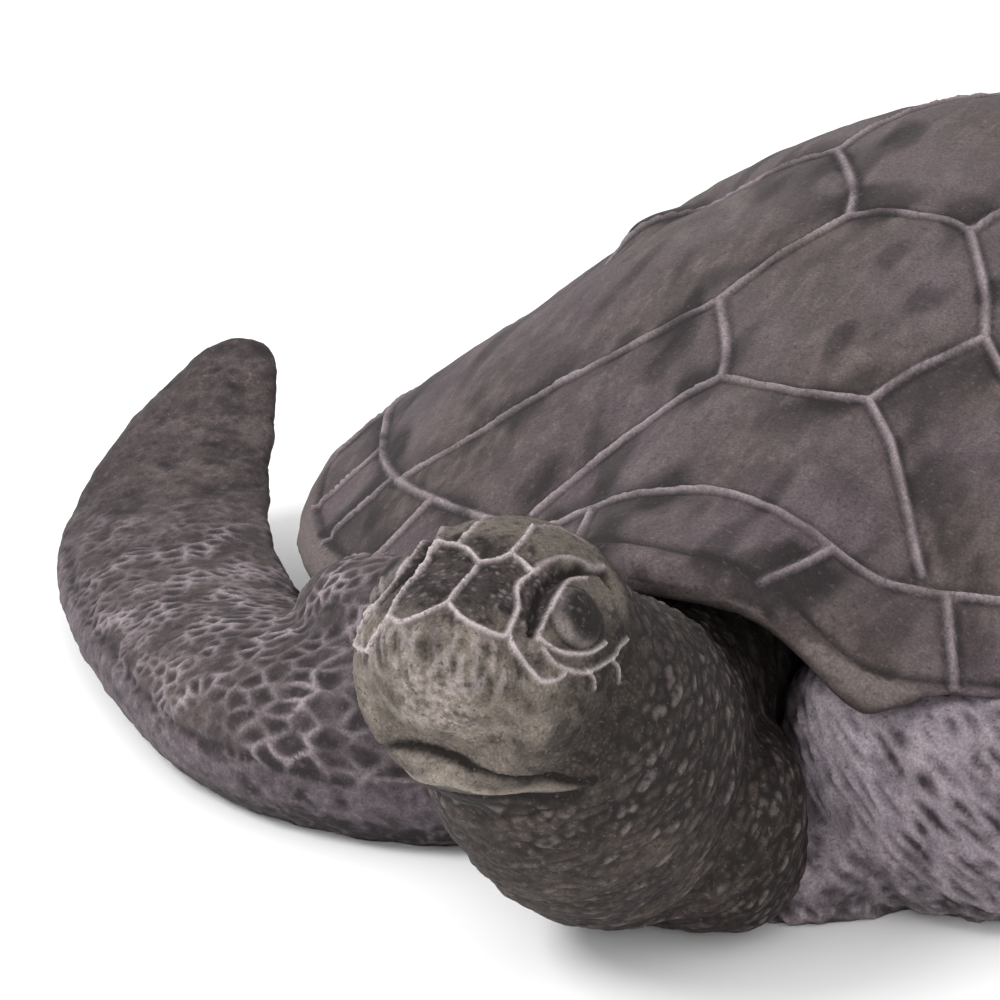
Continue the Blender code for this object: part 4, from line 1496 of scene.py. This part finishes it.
    def carve(self, co: Points, out: Points) -> Carving:
        """A pale net of scales, folds on the left shoulder, a violet lower band and soft lumps, with
        painted shade in the cleft by the neck, under the limbs, at the ground and further out on the
        shoulder, and painted light on the shoulder and on faces turned to the front.
        """
        x, _, z = co.T
        masks = self.masks(co, out)
        tip, shoulder, low, front = (masks[name] for name in ("tip", "shoulder", "low", "front"))
        place = self.net_place(co)
        net = ScaleNet(place, self.scale_size(co), 0.75 * self.voxel**2, SEED + 1)
        border, lot = net.measure(place)
        uneven = np.clip(0.70 + 1.6 * self.net_wear.at(co), 0.0, 1.3)
        fold_border, fold_lot = self._folds(co)
        thin = bell(border, self.ridge_half_width)
        thick = bell(fold_border, self.fold_half_width * (0.7 + 0.6 * fold_lot))
        lumps, rough, grain = self.lumps.at(co), self.rough.at(co), self.grain.at(co)
        patches = self.patches.at(co)
        drawn = self.tip_furrows.at(co * np.array([0.5, 1.0, 1.0]))
        mottles = self.mottles.at(co * np.array([0.45, 1.0, 1.0]))

        fading = (1 - 0.90 * tip) * (1 - 0.80 * low) * (1 - shoulder)
        height = fading * self.net_height * (uneven * thin - 0.3 + 0.3 * lot)
        height += shoulder * self.fold_height * (thick * uneven - 0.45) * smoothstep(z, *self.folds_top)
        height -= shoulder * self.tuck * smoothstep(z, *self.tuck_from)
        soft = self.lumps.height * lumps + self.rough.height * rough
        height += soft * smoothstep(z, *self.lumps_top) + self.grain.height * grain
        height += tip * self.tip_furrows.height * drawn
        level = z - self.crease_level - self.crease_drift.height * self.crease_drift.at(co)
        crease = bell(level, self.crease_form[1])
        crease = crease * front * smoothstep(x, -0.10, -0.14) * (1 - tip)
        height -= self.crease_form[0] * crease

        # Painted shade along the bottom, where the skin meets the ground.
        ground_shade = smoothstep(z, 0.014, 0.004)
        blotch = smoothstep(self.blotches.at(co), 0.05, 0.40)
        hollow = fading * (0.12 + 0.40 * uneven * smoothstep(border, 0.8 * MM, 2.6 * MM)) * (1 - thin)
        hollow += 0.45 * (1 - shoulder) * smoothstep(mottles, 0.05, 0.45)
        # Some gaps between the folds are darker at random, and painted shade darkens them more towards the
        # animal's left.
        fold_tone_and_shade = smoothstep(fold_lot, 0.10, 0.50) * (0.30 + 0.70 * smoothstep(x, *self.fold_shade_from))
        hollow += shoulder * fold_tone_and_shade * (1 - thick) * smoothstep(fold_border, 0.8 * MM, 2.2 * MM)
        # The shoulder is darker overall, and more so towards the bottom. Painted shade darkens faces
        # turned to the front, except on the left shoulder and the outer right flipper.
        hollow += shoulder * (0.12 + 0.22 * smoothstep(z, 0.050, 0.020))
        hollow += 0.28 * front * (1 - shoulder) * smoothstep(x, -0.19, -0.15)
        hollow += 0.6 * crease + 0.30 * blotch * low + 0.6 * ground_shade
        hollow += 0.35 * tip * smoothstep(drawn, 0.1, -0.3)
        # Painted shade in the cleft by the neck and on faces that turn downwards.
        hollow += 0.9 * masks["cleft_shade"] + 0.8 * smoothstep(out[:, 2], -0.3, -0.9)
        hollow += 0.30 * smoothstep(rough, 0.1, -0.4)
        # Painted light: the shoulder is paler near the neck and higher up.
        lit = smoothstep(x, *self.lit_side) * smoothstep(z, *self.lit_floor)
        # The lighter violet is partly the skin's own tone and partly painted light on the lower band, the
        # shoulder and faces turned to the front.
        violet = 0.60 * low + 0.75 * shoulder + 0.35 * smoothstep(x, -0.17, -0.10) * front
        brushed = np.clip(0.50 + 0.6 * patches, 0, 1)
        ridges = fading * thin * brushed * uneven + 0.45 * shoulder * thick * uneven
        ridges += 0.18 * smoothstep(grain, 0.15, 0.5) * (low + shoulder)
        return Carving(height, {
            Tint.RIDGE: ridges * (1 - masks["cleft_shade"]),
            Tint.HOLLOW: hollow,
            Tint.VIOLET: violet * (1 - 0.6 * ground_shade),
            Tint.PALE: shoulder * (0.4 * thick + 0.6 * lit) * (1 - masks["cleft_shade"]),
        })

    def fineness(self, co: Points) -> Points:
        """The front flippers and shoulders are fine, the rest is plainer."""
        visible = smoothstep(co[:, 1], 0.03, -0.03)
        inside = smoothstep(np.abs(co[:, 0]), 0.20, 0.15) * smoothstep(co[:, 1], -0.20, -0.16)
        return visible * (1 - inside)


@dataclass(frozen=True)
class Lamp:
    """A square soft light: its name, where it hangs, the length of its side and its watts."""

    name: str
    place: Triple
    size: float
    power: float

    def hang(self, target: Triple) -> None:
        """Hang the light so that it faces the target."""
        light = bpy.data.lights.new(self.name, "AREA")
        light.shape = "SQUARE"
        light.size = self.size
        light.energy = self.power
        made = bpy.data.objects.new(self.name, light)
        made.location = self.place
        aim = Vector(target) - Vector(self.place)
        made.rotation_euler = aim.to_track_quat("-Z", "Y").to_euler()
        bpy.context.scene.collection.objects.link(made)


@dataclass(frozen=True)
class Studio:
    """The pale floor, the soft lights and the camera."""

    azimuth: float = math.radians(24.709)
    elevation: float = math.radians(20.495)
    distance: float = 1.90
    look_at: Triple = (-0.02416, -0.38, 0.1813)
    lens: float = 198.997
    sensor: float = 36.0
    floor_size: float = 14.0
    floor_colour: str = "#fbfbfb"
    floor_roughness: float = 0.9
    floor_gap: float = 0.4 * MM
    sky_strength: float = 1.0
    lamps_at: Triple = (-0.05, -0.15, 0.08)
    lamps: tuple[Lamp, ...] = (
        Lamp("key", (-1.3, -1.5, 1.9), 0.9, 42),
        Lamp("front", (1.1, -2.2, 0.9), 0.8, 12),
    )

    def floor(self) -> None:
        """A wide pale floor under the statue."""
        plane = bmesh.new()
        bmesh.ops.create_grid(plane, x_segments=2, y_segments=2, size=self.floor_size / 2)
        mesh = bpy.data.meshes.new("floor")
        plane.to_mesh(mesh)
        plane.free()
        mesh.transform(Matrix.Translation((0, 0, -self.floor_gap)))
        # Matte painted board: it spreads light evenly and mirrors nothing.
        paint = bpy.data.materials.new("matte_white_board")
        paint.use_nodes = True
        shader = paint.node_tree.nodes["Principled BSDF"]
        shader.inputs["Base Color"].default_value = linear(self.floor_colour)
        shader.inputs["Roughness"].default_value = self.floor_roughness
        mesh.materials.append(paint)
        made = bpy.data.objects.new("floor", mesh)
        bpy.context.scene.collection.objects.link(made)

    def light(self) -> None:
        """A white surround, a key light from the upper left and a weaker one from the front."""
        world = bpy.data.worlds.new("white_surround")
        world.use_nodes = True
        sky = world.node_tree.nodes["Background"]
        sky.inputs["Color"].default_value = (1, 1, 1, 1)
        sky.inputs["Strength"].default_value = self.sky_strength
        bpy.context.scene.world = world
        for lamp in self.lamps:
            lamp.hang(self.lamps_at)

    def camera(self) -> None:
        """The camera at the photograph's angle."""
        flat = math.cos(self.elevation)
        aside, ahead = math.sin(self.azimuth) * flat, -math.cos(self.azimuth) * flat
        back = Vector((aside, ahead, math.sin(self.elevation)))
        lens = bpy.data.cameras.new("camera")
        lens.lens = self.lens
        lens.sensor_width = self.sensor
        lens.clip_end = 50
        made = bpy.data.objects.new("camera", lens)
        made.location = Vector(self.look_at) + back * self.distance
        made.rotation_euler = (-back).to_track_quat("-Z", "Y").to_euler()
        bpy.context.scene.collection.objects.link(made)
        bpy.context.scene.camera = made

    def build(self) -> None:
        """Set up the floor, the lights and the camera."""
        self.floor()
        self.light()
        self.camera()
        bpy.context.scene.view_settings.view_transform = "Standard"


def main() -> None:
    """Build the statue's pieces in order and set the stage."""
    logging.basicConfig(level=logging.INFO, format="%(message)s")
    Studio().build()
    for piece in (Carapace(), HeadAndNeck(), BodyAndLimbs()):
        made = piece.build()
        log.info("%s placed, %d points", made.name, len(made.data.vertices))


if __name__ == "__main__":
    main()
